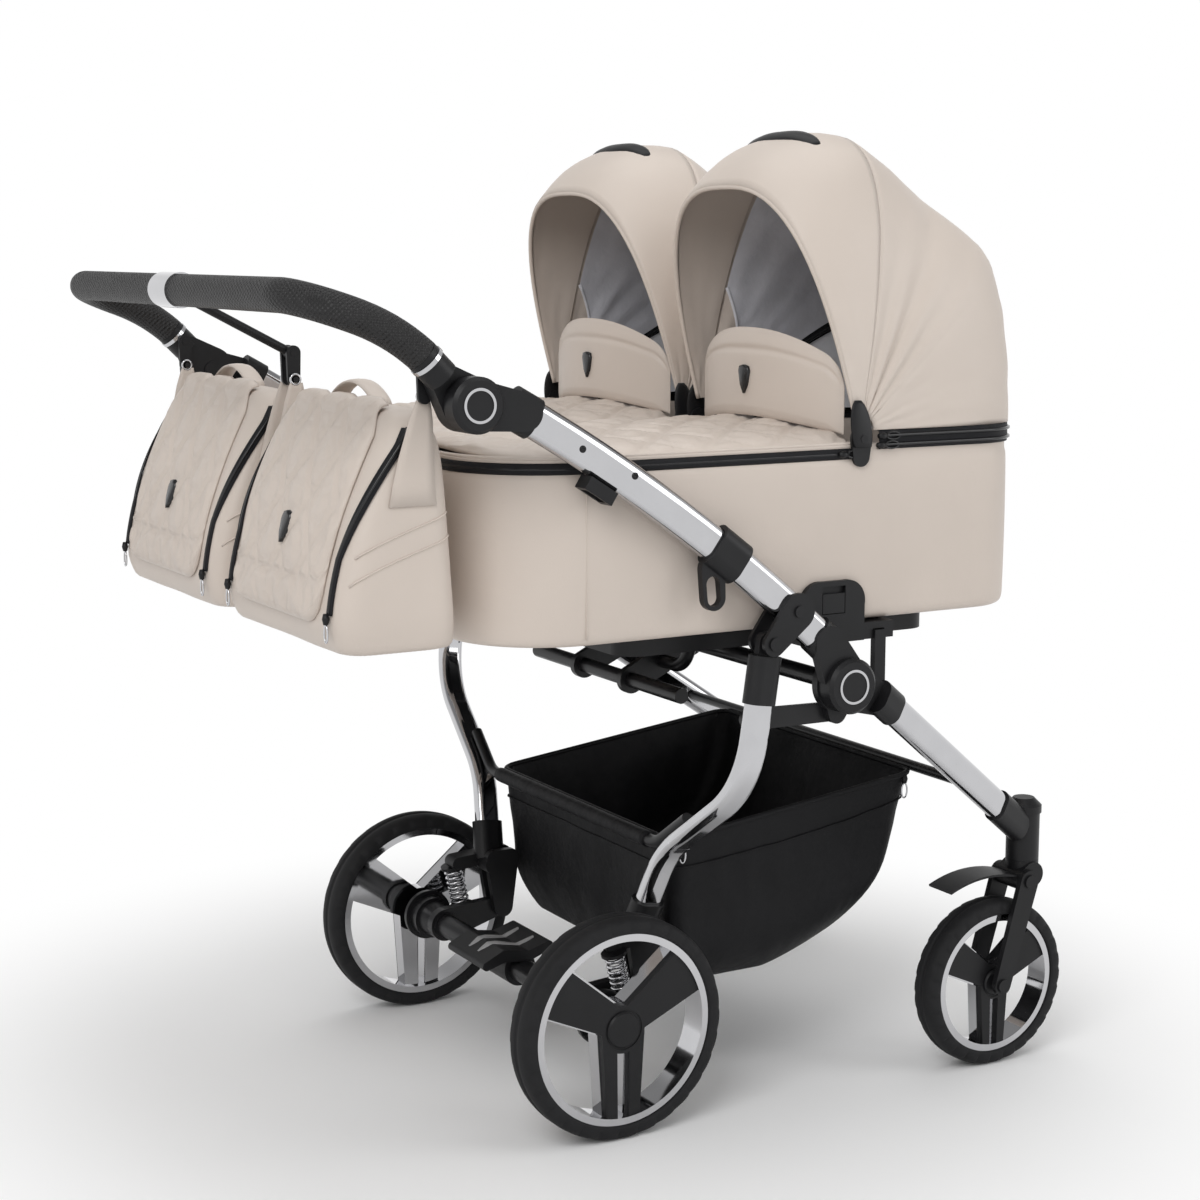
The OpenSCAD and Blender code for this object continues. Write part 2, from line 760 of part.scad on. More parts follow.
function coil_point(i) = let (a = 360 * i / spring_rings)
    [spring_d / 2 * cos(a), spring_d / 2 * sin(a), wire_d + coil_h * i / coil_n];
function spring_path() = concat([[spring_d / 2, 0, 0]], [for (i = [0:coil_n]) coil_point(i)],
    [[spring_d / 2, 0, spring_len]]);
function unit(v) = v / norm(v);

// A tube of six sides along a list of points
module wire(path, d, n = 6) {
    last = len(path) - 1;
    function heading(i) = unit(path[min(i + 1, last)] - path[max(i - 1, 0)]);
    points = [for (i = [0:last]) let (t = i == 0 || i == last ? [0, 0, 1] : heading(i), o = unit([path[i][0],
        path[i][1], 0]), u = unit(o - (o * t) * t), v = cross(t, u)) for (k = [0:n - 1])
        path[i] + d / 2 * (cos(360 * k / n) * u + sin(360 * k / n) * v)];
    walls = [for (i = [0:last - 1], k = [0:n - 1], h = [0, 1]) let (a = i * n + k, b = i * n + (k + 1) % n)
        h == 0 ? [a, a + n, b] : [b, a + n, b + n]];
    ends = [for (k = [1:n - 2], e = [0, 1]) e == 0 ? [0, k, k + 1] : [last * n, last * n + k + 1, last * n + k]];
    polyhedron(points, concat(walls, ends));
}

spring_gap = min([for (i = [0:coil_n], j = [i + spring_rings - 2:1:coil_n])
    norm(coil_point(i) - coil_point(j))]) - wire_d;
echo(spring_gap = spring_gap);

module springs() {
    color(chrome) for (s = sides) sided(s) on_spring() wire(spring_path(), wire_d);
}

// Foot pedal of the brake, rocking on the axle
module brake_pedal() {
    half = 52;
    color(black) difference() {
        union() {
            pin(rear_axle, beam_r + 7, -34, 34);
            plate(-half, half) {
                link2d(rear_axle + [4, 22], rear_axle + [-32, 27], 7, 8);
                link2d(rear_axle + [-32, 27], rear_axle + [-58, 17], 8, 6);
                link2d(rear_axle + [4, 22], rear_axle + [34, 32], 7, 6);
            }
        }
        pin(rear_axle, beam_r + run, -half - 1, half + 1);
    }
}

// Wheels

// Outline of the three-way cover: two wide wedges and a pair of narrow legs below
module spoke_outline(r, grow) {
    intersection() {
        union() {
            circle(r * 0.27 + grow);
            for (m = [0, 1]) mirror([m, 0]) {
                rotate(35) polygon([[0, -r * 0.13 - grow], [r * 1.1, -r * 0.34 - grow],
                    [r * 1.1, r * 0.26 + grow], [0, r * 0.17 + grow]]);
                polygon([[r * 0.08 - grow, 0], [r * 0.07 - grow, -r * 1.1], [r * 0.2 + grow, -r * 1.1],
                    [r * 0.27 + grow, 0]]);
            }
        }
        circle(r);
    }
}

module wheel_at(p, y) {
    translate([p[0], y, p[1]]) children();
}

module tyre(p, y, d, w) {
    round_r = tyre_h / 2 - 0.5;
    color(black) wheel_at(p, y) rotate([-90, 0, 0]) rotate_extrude($fn = 96) {
        translate([d / 2 - tyre_h, -w / 2]) square([tyre_h - round_r, w]);
        translate([d / 2 - tyre_h, -w / 2 + round_r]) square([tyre_h, w - 2 * round_r]);
        for (e = sides) translate([d / 2 - round_r, e * (w / 2 - round_r)]) circle(round_r, $fn = 48);
    }
}

// Chrome ring, hub and the spokes behind the cover
module rim(p, y, d, w) {
    r = d / 2 - tyre_h - seat;
    deep = w - 8;
    color(chrome) wheel_at(p, y) difference() {
        union() {
            rotate([-90, 0, 0]) rotate_extrude($fn = 96) translate([r - 9, -deep / 2]) square([9, deep]);
            plate(-deep / 2 + 6, deep / 2 - 11) spoke_outline(r - 8, 2.5);
            pin([0, 0], 20, -deep / 2, deep / 2 - 11);
        }
        pin([0, 0], axle_d / 2 + run, -w, w);
    }
}

module cover(p, y, d, w, bore) {
    r = d / 2 - tyre_h - seat;
    deep = w - 8;
    y0 = deep / 2 - 11 + snug;
    color(black) wheel_at(p, y) difference() {
        union() {
            plate(y0, y0 + 8) spoke_outline(r - 9 - snug, 0);
            capped_disc([0, 0], r * 0.19, y0, y0 + 11, 2);
        }
        pin([0, 0], axle_d / 2 + run, y0 - 1, y0 + bore);
        plate(y0 + 7, y0 + 9) difference() {
            circle(r * 0.215);
            circle(r * 0.19);
        }
    }
}

module rear_tyre(s) sided(s) tyre(rear_axle, rear_track / 2, rear_wheel_d, rear_tyre_w);
module rear_rim(s) sided(s) rim(rear_axle, rear_track / 2, rear_wheel_d, rear_tyre_w);
module rear_cover(s) sided(s) cover(rear_axle, rear_track / 2, rear_wheel_d, rear_tyre_w, 6);
module front_tyre(s) sided(s) tyre(front_axle, castor_y, front_wheel_d, front_tyre_w);
module front_rim(s) sided(s) rim(front_axle, castor_y, front_wheel_d, front_tyre_w);
module front_cover(s) sided(s) cover(front_axle, castor_y, front_wheel_d, front_tyre_w, 12);

// Swivelling head of a front fork, with its stem and mudguard
module fork_head(s) {
    guard_r = 165;
    guard_at = [front_axle[0] - 18, fork_pivot[1] - 150];
    color(black) sided(s) difference() {
        union() {
            translate([castor_x, castor_y, fork_pivot[1]]) cylinder(h = housing_low + 60 - fork_pivot[1], r = stem_r);
            translate([castor_x, castor_y, fork_pivot[1]])
                cylinder(h = housing_low - seat - fork_pivot[1], r = housing_r);
            plate(castor_y - fork_half + seat, castor_y + fork_half - seat)
                link2d(fork_pivot, [castor_x, fork_pivot[1] + 6], 15, 17);
            translate([guard_at[0], castor_y, guard_at[1]]) rotate([90, 0, 0]) rotate([0, 0, 68])
                rotate_extrude(angle = 46, $fn = 180) translate([guard_r - 3, 2 * seat - fork_half])
                square([3, 2 * fork_half - 4 * seat]);
        }
        pin(fork_pivot, axle_d / 2 + run, 0, frame_half);
    }
}

// Sprung fork arms on both sides of a front wheel, with their pivot pin and the axle
module fork(s) {
    color(black) sided(s) {
        for (y = [castor_y - fork_half - fork_t, castor_y + fork_half]) plate(y, y + fork_t)
            link2d(fork_pivot, front_axle, 15, 13);
        for (p = [fork_pivot, front_axle]) {
            pin(p, axle_d / 2, castor_y - fork_half - fork_t, castor_y + fork_half + fork_t);
            pin(p, 9, castor_y + fork_half + fork_t, castor_y + fork_half + fork_t + 3);
        }
    }
}

// Carrycots

// Plan of a carrycot about its own middle line, drawn in by a distance
module cot_plan(inset) {
    a = head_r - inset;
    b = foot_r - inset;
    blob2d([[cot_front - head_r, cot_out - head_r], [cot_back + foot_r, cot_out - foot_r],
        [cot_back + foot_r, foot_r - cot_out], [cot_front - head_r, head_r - cot_out]], [a, b, b, a]);
}

module at_cot(s) {
    sided(s) translate([0, cot_y, 0]) children();
}

module slab(z0, z1) {
    translate([0, 0, z0]) linear_extrude(z1 - z0) children();
}

module tub(s) {
    color(beige) at_cot(s) difference() {
        union() {
            slab(tub_bottom, tub_top) cot_plan(0);
            slab(tub_top, hood_h - seat) intersection() {
                cot_plan(0);
                translate([hood_x + 22, -cot_w]) square([cot_w * 2, cot_w * 2]);
            }
        }
        slab(tub_bottom + tub_wall, hood_h + 1) cot_plan(tub_wall);
    }
}

// Tray under a tub, the D-shaped adapter on its outer side and the hood's pivot pins
module cot_base(s) {
    plan = [[hub_x + 160, 100], [hub_x - 230, 100], [hub_x - 230, -100], [hub_x + 160, -100]];
    adapter_h = tub_bottom + 27;
    adapter_r = 26.5;
    color(black) at_cot(s) {
        slab(tray_bottom, tub_bottom - snug) blob2d(plan, [30, 30, 30, 30]);
        difference() {
            union() {
                plate(cot_out + snug, cot_out + 7.5) {
                    translate([hub_x - 46, tray_bottom + 4.6]) square([92, adapter_h - tray_bottom - 4]);
                    translate([hub_x - 20, adapter_h - 5]) square([40, adapter_r + 4.7]);
                    for (e = sides) translate([hub_x + e * 20, adapter_h]) circle(adapter_r);
                }
                translate([hub_x - 48, 100, tray_bottom + 5.2]) cube([138, cot_out + 7 - 100, tray_h - 6.4]);
            }
            translate([hub_x - 17, cot_out + 2, tray_bottom + 40]) cube([34, 20, 34]);
            translate([post_x - 8 - slip, cot_out - 5 - slip, tray_bottom - 1])
                cube([16 + 2 * slip, 30, 18 + slip]);
        }
        for (m = [0, 1]) mirror([0, m, 0]) {
            plate(cot_out + snug, cot_out + 4) link2d([hood_x, hood_h - 9], [hood_x, tub_top - 14], 15, 12);
            pin([hood_x, hood_h - 9], bolt_r, cot_out, cot_out + 9.5);
        }
    }
}

module mattress(s) {
    color(grey) at_cot(s) intersection() {
        slab(tub_bottom + tub_wall + snug, tub_bottom + tub_wall + mattress_h) cot_plan(tub_wall + 4);
        translate([0, 0, tub_bottom + tub_wall + mattress_h - 1500]) rotate([0, 90, 0])
            cylinder(h = 3000, r = 1500, center = true, $fn = 360);
    }
}

// Round top of the apron, grown by a clearance
module crown(grow) {
    crown_r = (cot_out * cot_out + apron_crown * apron_crown) / (2 * apron_crown);
    translate([0, 0, apron_top - crown_r]) rotate([0, 90, 0])
        cylinder(h = 3000, r = crown_r + grow, center = true, $fn = 360);
}

// Padded cover over the foot half of a tub
module apron(s) {
    color(beige) at_cot(s) intersection() {
        slab(tub_top + seat, tub_top + apron_crown + 8) cot_plan(3);
        translate([cot_back - 10, -cot_w, 0]) cube([apron_front - cot_back + 10, 2 * cot_w, 2 * tub_top]);
        crown(0);
    }
}

// Raised end of the apron, bowed towards the handle
module flap(s) {
    bow_r = (flap_half * flap_half + flap_bulge * flap_bulge) / (2 * flap_bulge);
    low = tub_top + 2;
    high = apron_top + flap_h - low;
    color(beige) at_cot(s) translate([apron_front - 1 + bow_r - flap_bulge, 0, 0]) difference() {
        intersection() {
            slab(low - 5, low + high + 5) difference() {
                circle(bow_r, $fn = 360);
                circle(bow_r - flap_t, $fn = 360);
            }
            translate([-2 * bow_r, 0, 0]) rotate([90, 0, 90]) linear_extrude(2 * bow_r) translate([0, low]) {
                translate([-flap_half, 0]) square([2 * flap_half, high - 46]);
                translate([46 - flap_half, 0]) square([2 * (flap_half - 46), high]);
                for (e = sides) translate([e * (flap_half - 46), high - 46]) circle(46);
            }
        }
        crown(0.4);
    }
}

module latch(s) {
    color(black) at_cot(s) translate([hub_x - 16, cot_out + 2.4, tray_bottom + 41]) cube([32, 5, 24]);
}

// Hoods

rear_reach = cot_head - hood_ahead;
function reach(a) = a < hood_split ? rear_reach + (hood_crown - rear_reach) * sin(90 * a / hood_split)
    : hood_crown - (hood_crown - hood_rim) * pow((a - hood_split) / (rim_angle - hood_split), 2);
function squareness(a) = 6 - 2.4 * min(1, a / 60);
// A bow's outline at angle f, from one pivot over the top to the other, as [across, out]
function bow(a, f, t) = let (n = squareness(a), w = hood_half - t, r = reach(a) - t,
    k = pow(pow(abs(cos(f)) / w, n) + pow(sin(f) / r, n), -1 / n)) [k * cos(f), k * sin(f)];
function hood_point(a, f, t) = let (b = bow(a, f, t)) [b[1] * cos(a), b[0], b[1] * sin(a)];

bow_foot = 7;
bow_steps = 18;

// Part of the hood between two bow angles, as a closed shell
module hood_shell(a0, a1, steps) {
    n = bow_steps + 1;
    layer = n * (steps + 1);
    points = [for (t = [0, hood_t], i = [0:steps], j = [0:bow_steps])
        hood_point(a0 + (a1 - a0) * i / steps, bow_foot + (180 - 2 * bow_foot) * j / bow_steps, t)];
    function quad(a, b, c, d) = [[a, b, c], [a, c, d]];
    skins = [for (i = [0:steps - 1], j = [0:bow_steps - 1]) let (a = i * n + j, b = a + 1, c = b + n, d = a + n)
        concat(quad(a, b, c, d), quad(layer + d, layer + c, layer + b, layer + a))];
    rims = [for (j = [0:bow_steps - 1]) let (b = steps * n + j)
        concat(quad(layer + j, layer + j + 1, j + 1, j), quad(b, b + 1, layer + b + 1, layer + b))];
    feet = [for (i = [0:steps - 1]) let (a = i * n, b = a + bow_steps)
        concat(quad(a, a + n, layer + a + n, layer + a), quad(layer + b, layer + b + n, b + n, b))];
    polyhedron(points, [for (group = [skins, rims, feet], q = group, f = q) f]);
}

module at_hood(s) {
    at_cot(s) translate([hood_x, 0, hood_h]) children();
}

// Visor and front bow, with the swinging arms on the hood's pivots
module hood_front(s) {
    color(beige) at_hood(s) hood_shell(hood_split + 0.1, rim_angle, 4);
    color(black) at_cot(s) for (m = [0, 1]) mirror([0, m, 0]) plate(cot_out + 4 + seat, cot_out + 9) difference() {
        link2d([hood_x, hood_h - 9], [hood_x - 4, hood_h + 60], 13, 9);
        translate([hood_x, hood_h - 9]) circle(bolt_r + run);
    }
    color(black) at_cot(s) for (m = [0, 1]) mirror([0, m, 0])
        pin([hood_x - 4, hood_h + 60], 6, hood_half + snug, cot_out + 6);
}

module hood_rear(s) {
    color(beige) at_hood(s) hood_shell(0, hood_split, 10);
}

// Basket: a fabric tub with a rounded, sagging floor
module basket() {
    back_top = leg_pivot - (leg_pivot_h - basket_h) / cos(leg_lean) * [sin(leg_lean), cos(leg_lean)] + [15, 0];
    floor_r = 40;
    points = [back_top + [6, 0], [hub_x - 90, basket_floor + floor_r], [hub_x + 40, basket_floor + floor_r],
        [hub_x + 168, basket_floor + 52 + floor_r], front_bar - (front_bar_r + 5 + seat) * [cos(32), sin(32)]];
    mouth = points[4] - points[0];
    function round_by(t) = [5 - t, floor_r - t, floor_r - t, floor_r - t, 5 - t];
    color(black) difference() {
        plate(-basket_half, basket_half) blob2d(points, round_by(0));
        plate(basket_t - basket_half, basket_half - basket_t) blob2d(points, round_by(basket_t));
        plate(-2 * basket_half, 2 * basket_half) polygon([points[0] - mouth, points[4] + mouth,
            points[4] + mouth + [0, basket_h], points[0] - mouth + [0, basket_h]]);
    }
}

lower_tubes();
hub_lowers();
cross_tubes();
swivel_housings();
basket();
upper_tubes();
hub_uppers();
hub_rings();
tube_brackets();
handle_hubs();
trigger(right);  // trigger_right
trigger(left);  // trigger_left
handle_arms();
hook_arm();
handle_grip();
grip_trim();
tilt_button(right);  // tilt_button_right
tilt_button(left);  // tilt_button_left
bag_hooks();
bag(right);  // bag_right
bag(left);  // bag_left
legs();
leg_fittings();
basket_bar();
stays();
axle_beam();
springs();
brake_pedal();
rear_tyre(right);  // rear_tyre_right
rear_rim(right);  // rear_rim_right
rear_cover(right);  // rear_cover_right
rear_tyre(left);  // rear_tyre_left
rear_rim(left);  // rear_rim_left
rear_cover(left);  // rear_cover_left
front_tyre(right);  // front_tyre_right
front_rim(right);  // front_rim_right
front_cover(right);  // front_cover_right
front_tyre(left);  // front_tyre_left
front_rim(left);  // front_rim_left
front_cover(left);  // front_cover_left
fork_head(right);  // fork_head_right
fork_head(left);  // fork_head_left
fork(right);  // fork_right
fork(left);  // fork_left
tub(right);  // tub_right
cot_base(right);  // cot_base_right
mattress(right);  // mattress_right
apron(right);  // apron_right
flap(right);  // flap_right
hood_front(right);  // hood_front_right
hood_rear(right);  // hood_rear_right
latch(right);  // latch_right
tub(left);  // tub_left
cot_base(left);  // cot_base_left
mattress(left);  // mattress_left
apron(left);  // apron_left
flap(left);  // flap_left
hood_front(left);  // hood_front_left
hood_rear(left);  // hood_rear_left
latch(left);  // latch_left
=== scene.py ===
import json
import math

import bpy
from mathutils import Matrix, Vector, noise


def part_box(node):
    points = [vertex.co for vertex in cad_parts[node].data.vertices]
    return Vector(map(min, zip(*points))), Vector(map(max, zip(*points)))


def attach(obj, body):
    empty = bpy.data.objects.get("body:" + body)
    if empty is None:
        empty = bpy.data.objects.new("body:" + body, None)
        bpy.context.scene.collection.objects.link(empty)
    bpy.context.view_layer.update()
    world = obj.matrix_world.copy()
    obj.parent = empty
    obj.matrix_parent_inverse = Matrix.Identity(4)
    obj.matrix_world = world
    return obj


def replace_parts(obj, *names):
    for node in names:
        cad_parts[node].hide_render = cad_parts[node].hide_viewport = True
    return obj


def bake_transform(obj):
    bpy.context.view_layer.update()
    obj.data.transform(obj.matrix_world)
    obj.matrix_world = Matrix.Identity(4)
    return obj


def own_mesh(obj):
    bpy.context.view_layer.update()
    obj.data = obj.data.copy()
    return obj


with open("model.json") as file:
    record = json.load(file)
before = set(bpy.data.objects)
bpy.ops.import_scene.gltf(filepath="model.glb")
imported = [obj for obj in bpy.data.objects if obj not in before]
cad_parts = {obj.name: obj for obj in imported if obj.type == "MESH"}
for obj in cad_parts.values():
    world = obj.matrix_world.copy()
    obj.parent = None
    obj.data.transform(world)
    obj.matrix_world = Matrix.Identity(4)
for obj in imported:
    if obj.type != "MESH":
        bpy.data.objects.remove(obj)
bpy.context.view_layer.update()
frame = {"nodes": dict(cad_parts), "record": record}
nodes = frame["nodes"]

# Positions are in millimetres: x from the line of the fold hubs, y from the middle, z from the floor
HUB_X = 136.5
COT_Y = 201.0
AXLE_X, AXLE_Z = -244, 140
SIDES = (("right", -1), ("left", 1))
scene = bpy.context.scene


def P(x, y, z):
    return Vector(((x + HUB_X) / 1000, y / 1000, z / 1000))


def angles(n):
    """The n equal steps of one turn."""
    return [2 * math.pi * k / n for k in range(n)]


def end_letter(e):
    """Letter in the names of a pair: i for its negative side, o for its positive one."""
    return "io"[e > 0]


# Materials


def link(tree, a, out, b, inp):
    tree.links.new(a.outputs[out], b.inputs[inp])


def math_node(tree, operation, a, a_out, b, b_out):
    """A Math node fed by one output of each of two nodes."""
    m = tree.nodes.new("ShaderNodeMath")
    m.operation = operation
    link(tree, a, a_out, m, 0)
    link(tree, b, b_out, m, 1)
    return m


def new_material(name, color, rough, metal=0.0, tint=0.06, tint_scale=9.0, rough_var=0.05, bumps=(),
                 sheen=0.0, specular=0.5):
    """A Principled material with a cloudy colour, a varied roughness and a chain of bumps.
    Each bump is (kind, scale, strength, depth in mm)."""
    m = bpy.data.materials.new(name)
    m.use_nodes = True
    t = m.node_tree
    p = t.nodes["Principled BSDF"]
    p.inputs["Metallic"].default_value = metal
    p.inputs["Specular IOR Level"].default_value = specular
    p.inputs["Sheen Weight"].default_value = sheen
    co = t.nodes.new("ShaderNodeTexCoord")
    cloud = t.nodes.new("ShaderNodeTexNoise")
    cloud.inputs["Scale"].default_value = tint_scale
    cloud.inputs["Detail"].default_value = 5
    link(t, co, "Object", cloud, "Vector")
    ramp = t.nodes.new("ShaderNodeValToRGB")
    for e, f in zip(ramp.color_ramp.elements, (1 - tint, 1 + tint)):
        e.color = (*[min(c * f, 1) for c in color], 1)
    ramp.color_ramp.elements[0].position = 0.3
    ramp.color_ramp.elements[1].position = 0.7
    link(t, cloud, "Fac", ramp, "Fac")
    link(t, ramp, "Color", p, "Base Color")
    spread = t.nodes.new("ShaderNodeMapRange")
    spread.inputs["To Min"].default_value = max(rough - rough_var, 0.02)
    spread.inputs["To Max"].default_value = rough + rough_var
    link(t, cloud, "Fac", spread, "Value")
    link(t, spread, "Result", p, "Roughness")
    last = None
    for kind, scale, strength, depth in bumps:
        if kind == "weave":
            a, b = (t.nodes.new("ShaderNodeTexWave") for _ in "ab")
            for w, way in ((a, "X"), (b, "Z")):
                w.bands_direction = way
                w.inputs["Scale"].default_value = scale
                w.inputs["Distortion"].default_value = 0.6
                link(t, co, "Object", w, "Vector")
            tex = math_node(t, "MAXIMUM", a, "Fac", b, "Fac")
            out = "Value"
        elif kind == "noise":
            tex = t.nodes.new("ShaderNodeTexNoise")
            tex.inputs["Detail"].default_value = 6
            out = "Fac"
        else:
            tex = t.nodes.new("ShaderNodeTexVoronoi")
            tex.inputs["Randomness"].default_value = 0.0 if kind == "lattice" else 1.0
            if kind == "lattice":
                turn = t.nodes.new("ShaderNodeMapping")
                turn.inputs["Rotation"].default_value = (0.6, 0.5, 0.78)
                link(t, co, "Object", turn, "Vector")
                link(t, turn, "Vector", tex, "Vector")
            out = "Distance"
        if kind != "weave":
            tex.inputs["Scale"].default_value = scale
            if kind != "lattice":
                link(t, co, "Object", tex, "Vector")
        bump = t.nodes.new("ShaderNodeBump")
        bump.inputs["Strength"].default_value = strength
        bump.inputs["Distance"].default_value = depth / 1000
        link(t, tex, out, bump, "Height")
        if last:
            link(t, last, "Normal", bump, "Normal")
        last = bump
    if last:
        link(t, last, "Normal", p, "Normal")
    return m


BEIGE = (0.60, 0.527, 0.468)
leather = new_material("pearl_leather", BEIGE, 0.46, tint=0.035, tint_scale=5, rough_var=0.06,
                       bumps=(("noise", 35, 0.25, 2.0), ("cells", 900, 0.22, 0.25)), specular=0.42)
lining = new_material("grey_lining", (0.60, 0.605, 0.65), 0.62, tint=0.12, tint_scale=14,
                      bumps=(("noise", 22, 0.7, 5.0), ("weave", 500, 0.15, 0.2)), sheen=0.2)
pale_lining = new_material("pale_lining", (0.74, 0.745, 0.775), 0.62, tint=0.08, tint_scale=14,
                           bumps=(("noise", 22, 0.7, 5.0), ("weave", 500, 0.15, 0.2)), sheen=0.2)
chrome = new_material("polished_chrome", (0.54, 0.54, 0.555), 0.06, metal=1.0, tint=0.03, tint_scale=25,
                      rough_var=0.035, bumps=(("noise", 60, 0.03, 0.3),))
plastic = new_material("black_moulding", (0.010, 0.010, 0.011), 0.42, tint=0.15, tint_scale=20,
                       rough_var=0.08, bumps=(("noise", 1400, 0.10, 0.15),), specular=0.25)
gloss = new_material("black_gloss", (0.012, 0.012, 0.013), 0.2, tint=0.1, tint_scale=12, rough_var=0.05,
                     specular=0.4)
paint = new_material("satin_black_tube", (0.010, 0.010, 0.011), 0.32, tint=0.15, tint_scale=18,
                     rough_var=0.07, bumps=(("noise", 900, 0.06, 0.1),), specular=0.3)
rubber = new_material("tyre_rubber", (0.014, 0.014, 0.015), 0.7, tint=0.2, tint_scale=16, rough_var=0.08,
                      bumps=(("noise", 700, 0.2, 0.3),), specular=0.22)
cloth = new_material("basket_cloth", (0.008, 0.008, 0.009), 0.55, tint=0.2, tint_scale=10, rough_var=0.1,
                     bumps=(("noise", 16, 0.6, 8.0), ("weave", 420, 0.25, 0.25)), specular=0.16)
grip_skin = new_material("woven_grip", (0.014, 0.0135, 0.014), 0.5, tint=0.15, tint_scale=30, rough_var=0.06,
                         bumps=(("lattice", 260, 1.0, 2.2),), specular=0.35)
zip_tape = new_material("zip_tape", (0.010, 0.010, 0.012), 0.55, tint=0.2, tint_scale=40,
                        bumps=(("weave", 900, 0.5, 0.5),), specular=0.2)
steel = new_material("spring_wire", (0.62, 0.62, 0.64), 0.2, metal=1.0, tint=0.05, tint_scale=60,
                     rough_var=0.06, bumps=(("noise", 300, 0.05, 0.1),))
insert_grey = new_material("pedal_insert", (0.30, 0.30, 0.305), 0.55, tint=0.1, tint_scale=40,
                           bumps=(("cells", 500, 0.25, 0.3),))
ticking = new_material("mattress_cotton", (0.72, 0.72, 0.70), 0.8, tint=0.05, tint_scale=12,
                       bumps=(("weave", 380, 0.3, 0.3),), sheen=0.1)

slot_material = {"chrome": chrome, "black_plastic": plastic, "black_tube": paint, "basket_fabric": cloth,
                 "grip_leather": grip_skin, "trim_chrome": chrome, "spring_steel": steel, "tyre": rubber,
                 "tub_leather": leather, "cover_fabric": leather, "hood_leather": leather,
                 "bag_leather": leather, "mattress_fabric": ticking}
for part in frame["record"]["subparts"]:
    mesh = nodes[part["node"]].data
    mesh.materials.clear()
    mesh.materials.append(slot_material[part["material_slot"]])


# Mesh helpers


def make(name, verts, faces, material, body=None):
    mesh = bpy.data.meshes.new(name)
    mesh.from_pydata([tuple(v) for v in verts], [], faces)
    mesh.update()
    mesh.polygons.foreach_set("use_smooth", [True] * len(mesh.polygons))
    mesh.materials.append(material)
    obj = bpy.data.objects.new(name, mesh)
    scene.collection.objects.link(obj)
    if body:
        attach(obj, body)
    return obj


def grid(name, rows, material, body=None, around=False, cap_first=False, cap_last=False,
         flip=False):
    """A surface through rows of points; around closes each row."""
    n = len(rows[0])
    verts = [p for r in rows for p in r]
    faces = []
    for i in range(len(rows) - 1):
        for j in range(n if around else n - 1):
            k = (j + 1) % n
            faces.append((i * n + j, i * n + k, (i + 1) * n + k, (i + 1) * n + j))
    if cap_first:
        faces.append(tuple(range(n - 1, -1, -1)))
    if cap_last:
        faces.append(tuple((len(rows) - 1) * n + j for j in range(n)))
    if flip:
        faces = [f[::-1] for f in faces]
    return make(name, verts, faces, material, body)


def frames(path, closed):
    """Two normals at each point of a path, carried along without twist."""
    n = len(path)
    tang = []
    for i in range(n):
        a = path[(i - 1) % n] if closed or i > 0 else path[i]
        b = path[(i + 1) % n] if closed or i < n - 1 else path[i]
        tang.append((b - a).normalized())
    up = Vector((0, 0, 1)) if abs(tang[0].z) < 0.9 else Vector((1, 0, 0))
    out = []
    for t in tang:
        u = (up - t * up.dot(t)).normalized()
        out.append((u, t.cross(u)))
        up = u
    return out


def tube(name, path, radius, material, body, sides=10, flat=1.0, closed=False):
    """A round or flattened tube along a path; radius may be a list."""
    rows = []
    for i, (p, (u, v)) in enumerate(zip(path, frames(path, closed))):
        r = radius[i] if hasattr(radius, "__len__") else radius
        rows.append([p + (u * math.cos(g) + v * flat * math.sin(g)) * r for g in angles(sides)])
    if closed:
        rows.append(rows[0])
    return grid(name, rows, material, body, around=True, cap_first=not closed, cap_last=not closed)


def subsurf(obj):
    m = obj.modifiers.new("smooth", "SUBSURF")
    m.levels = 1
    m.render_levels = 1
    return obj


def thick(obj, mm, offset=-1.0):
    m = obj.modifiers.new("thick", "SOLIDIFY")
    m.thickness = mm / 1000
    m.offset = offset
    return obj


def resample(points, n):
    """A closed outline as n points at equal distances."""
    pts = points + [points[0]]
    dist = [0.0]
    for a, b in zip(pts, pts[1:]):
        dist.append(dist[-1] + math.dist(a, b))
    out, i = [], 0
    for k in range(n):
        d = dist[-1] * k / n
        while i < len(pts) - 2 and dist[i + 1] < d:
            i += 1
        f = (d - dist[i]) / max(dist[i + 1] - dist[i], 1e-9)
        out.append(tuple(a + (b - a) * f for a, b in zip(pts[i], pts[i + 1])))
    return out


def arc(cx, cy, r, a0, a1, steps=16):
    return [(cx + r * math.cos(math.radians(a0 + (a1 - a0) * k / steps)),
             cy + r * math.sin(math.radians(a0 + (a1 - a0) * k / steps))) for k in range(steps + 1)]


def rounded(front, back, w, r, n):
    """A box from back to front and w to each side, with corners of radius r, as n points."""
    pts = [(front, 0)] + arc(front - r, w - r, r, 0, 90, 8) + arc(back + r, w - r, r, 90, 180, 8)
    pts += arc(back + r, r - w, r, 180, 270, 8) + arc(front - r, r - w, r, 270, 360, 8)
    return resample(pts, n)


def wave(p, scale):
    return noise.noise(Vector(p) * scale)


# Carrycot plan about its own middle line

HEAD, FOOT, OUT = 309.0, -455.0, 180.0
HEAD_R, FOOT_R = 80, 120
ZIP_Z, ZIP_END = 838, 40


def plan(inset, n):
    a, b = HEAD_R - inset, FOOT_R - inset
    pts = [(HEAD - inset, 0)] + arc(HEAD - HEAD_R, OUT - HEAD_R, a, 0, 90)
    pts += arc(FOOT + FOOT_R, OUT - FOOT_R, b, 90, 180) + arc(FOOT + FOOT_R, FOOT_R - OUT, b, 180, 270)
    pts += arc(HEAD - HEAD_R, HEAD_R - OUT, a, 270, 360)
    return resample(pts, n)


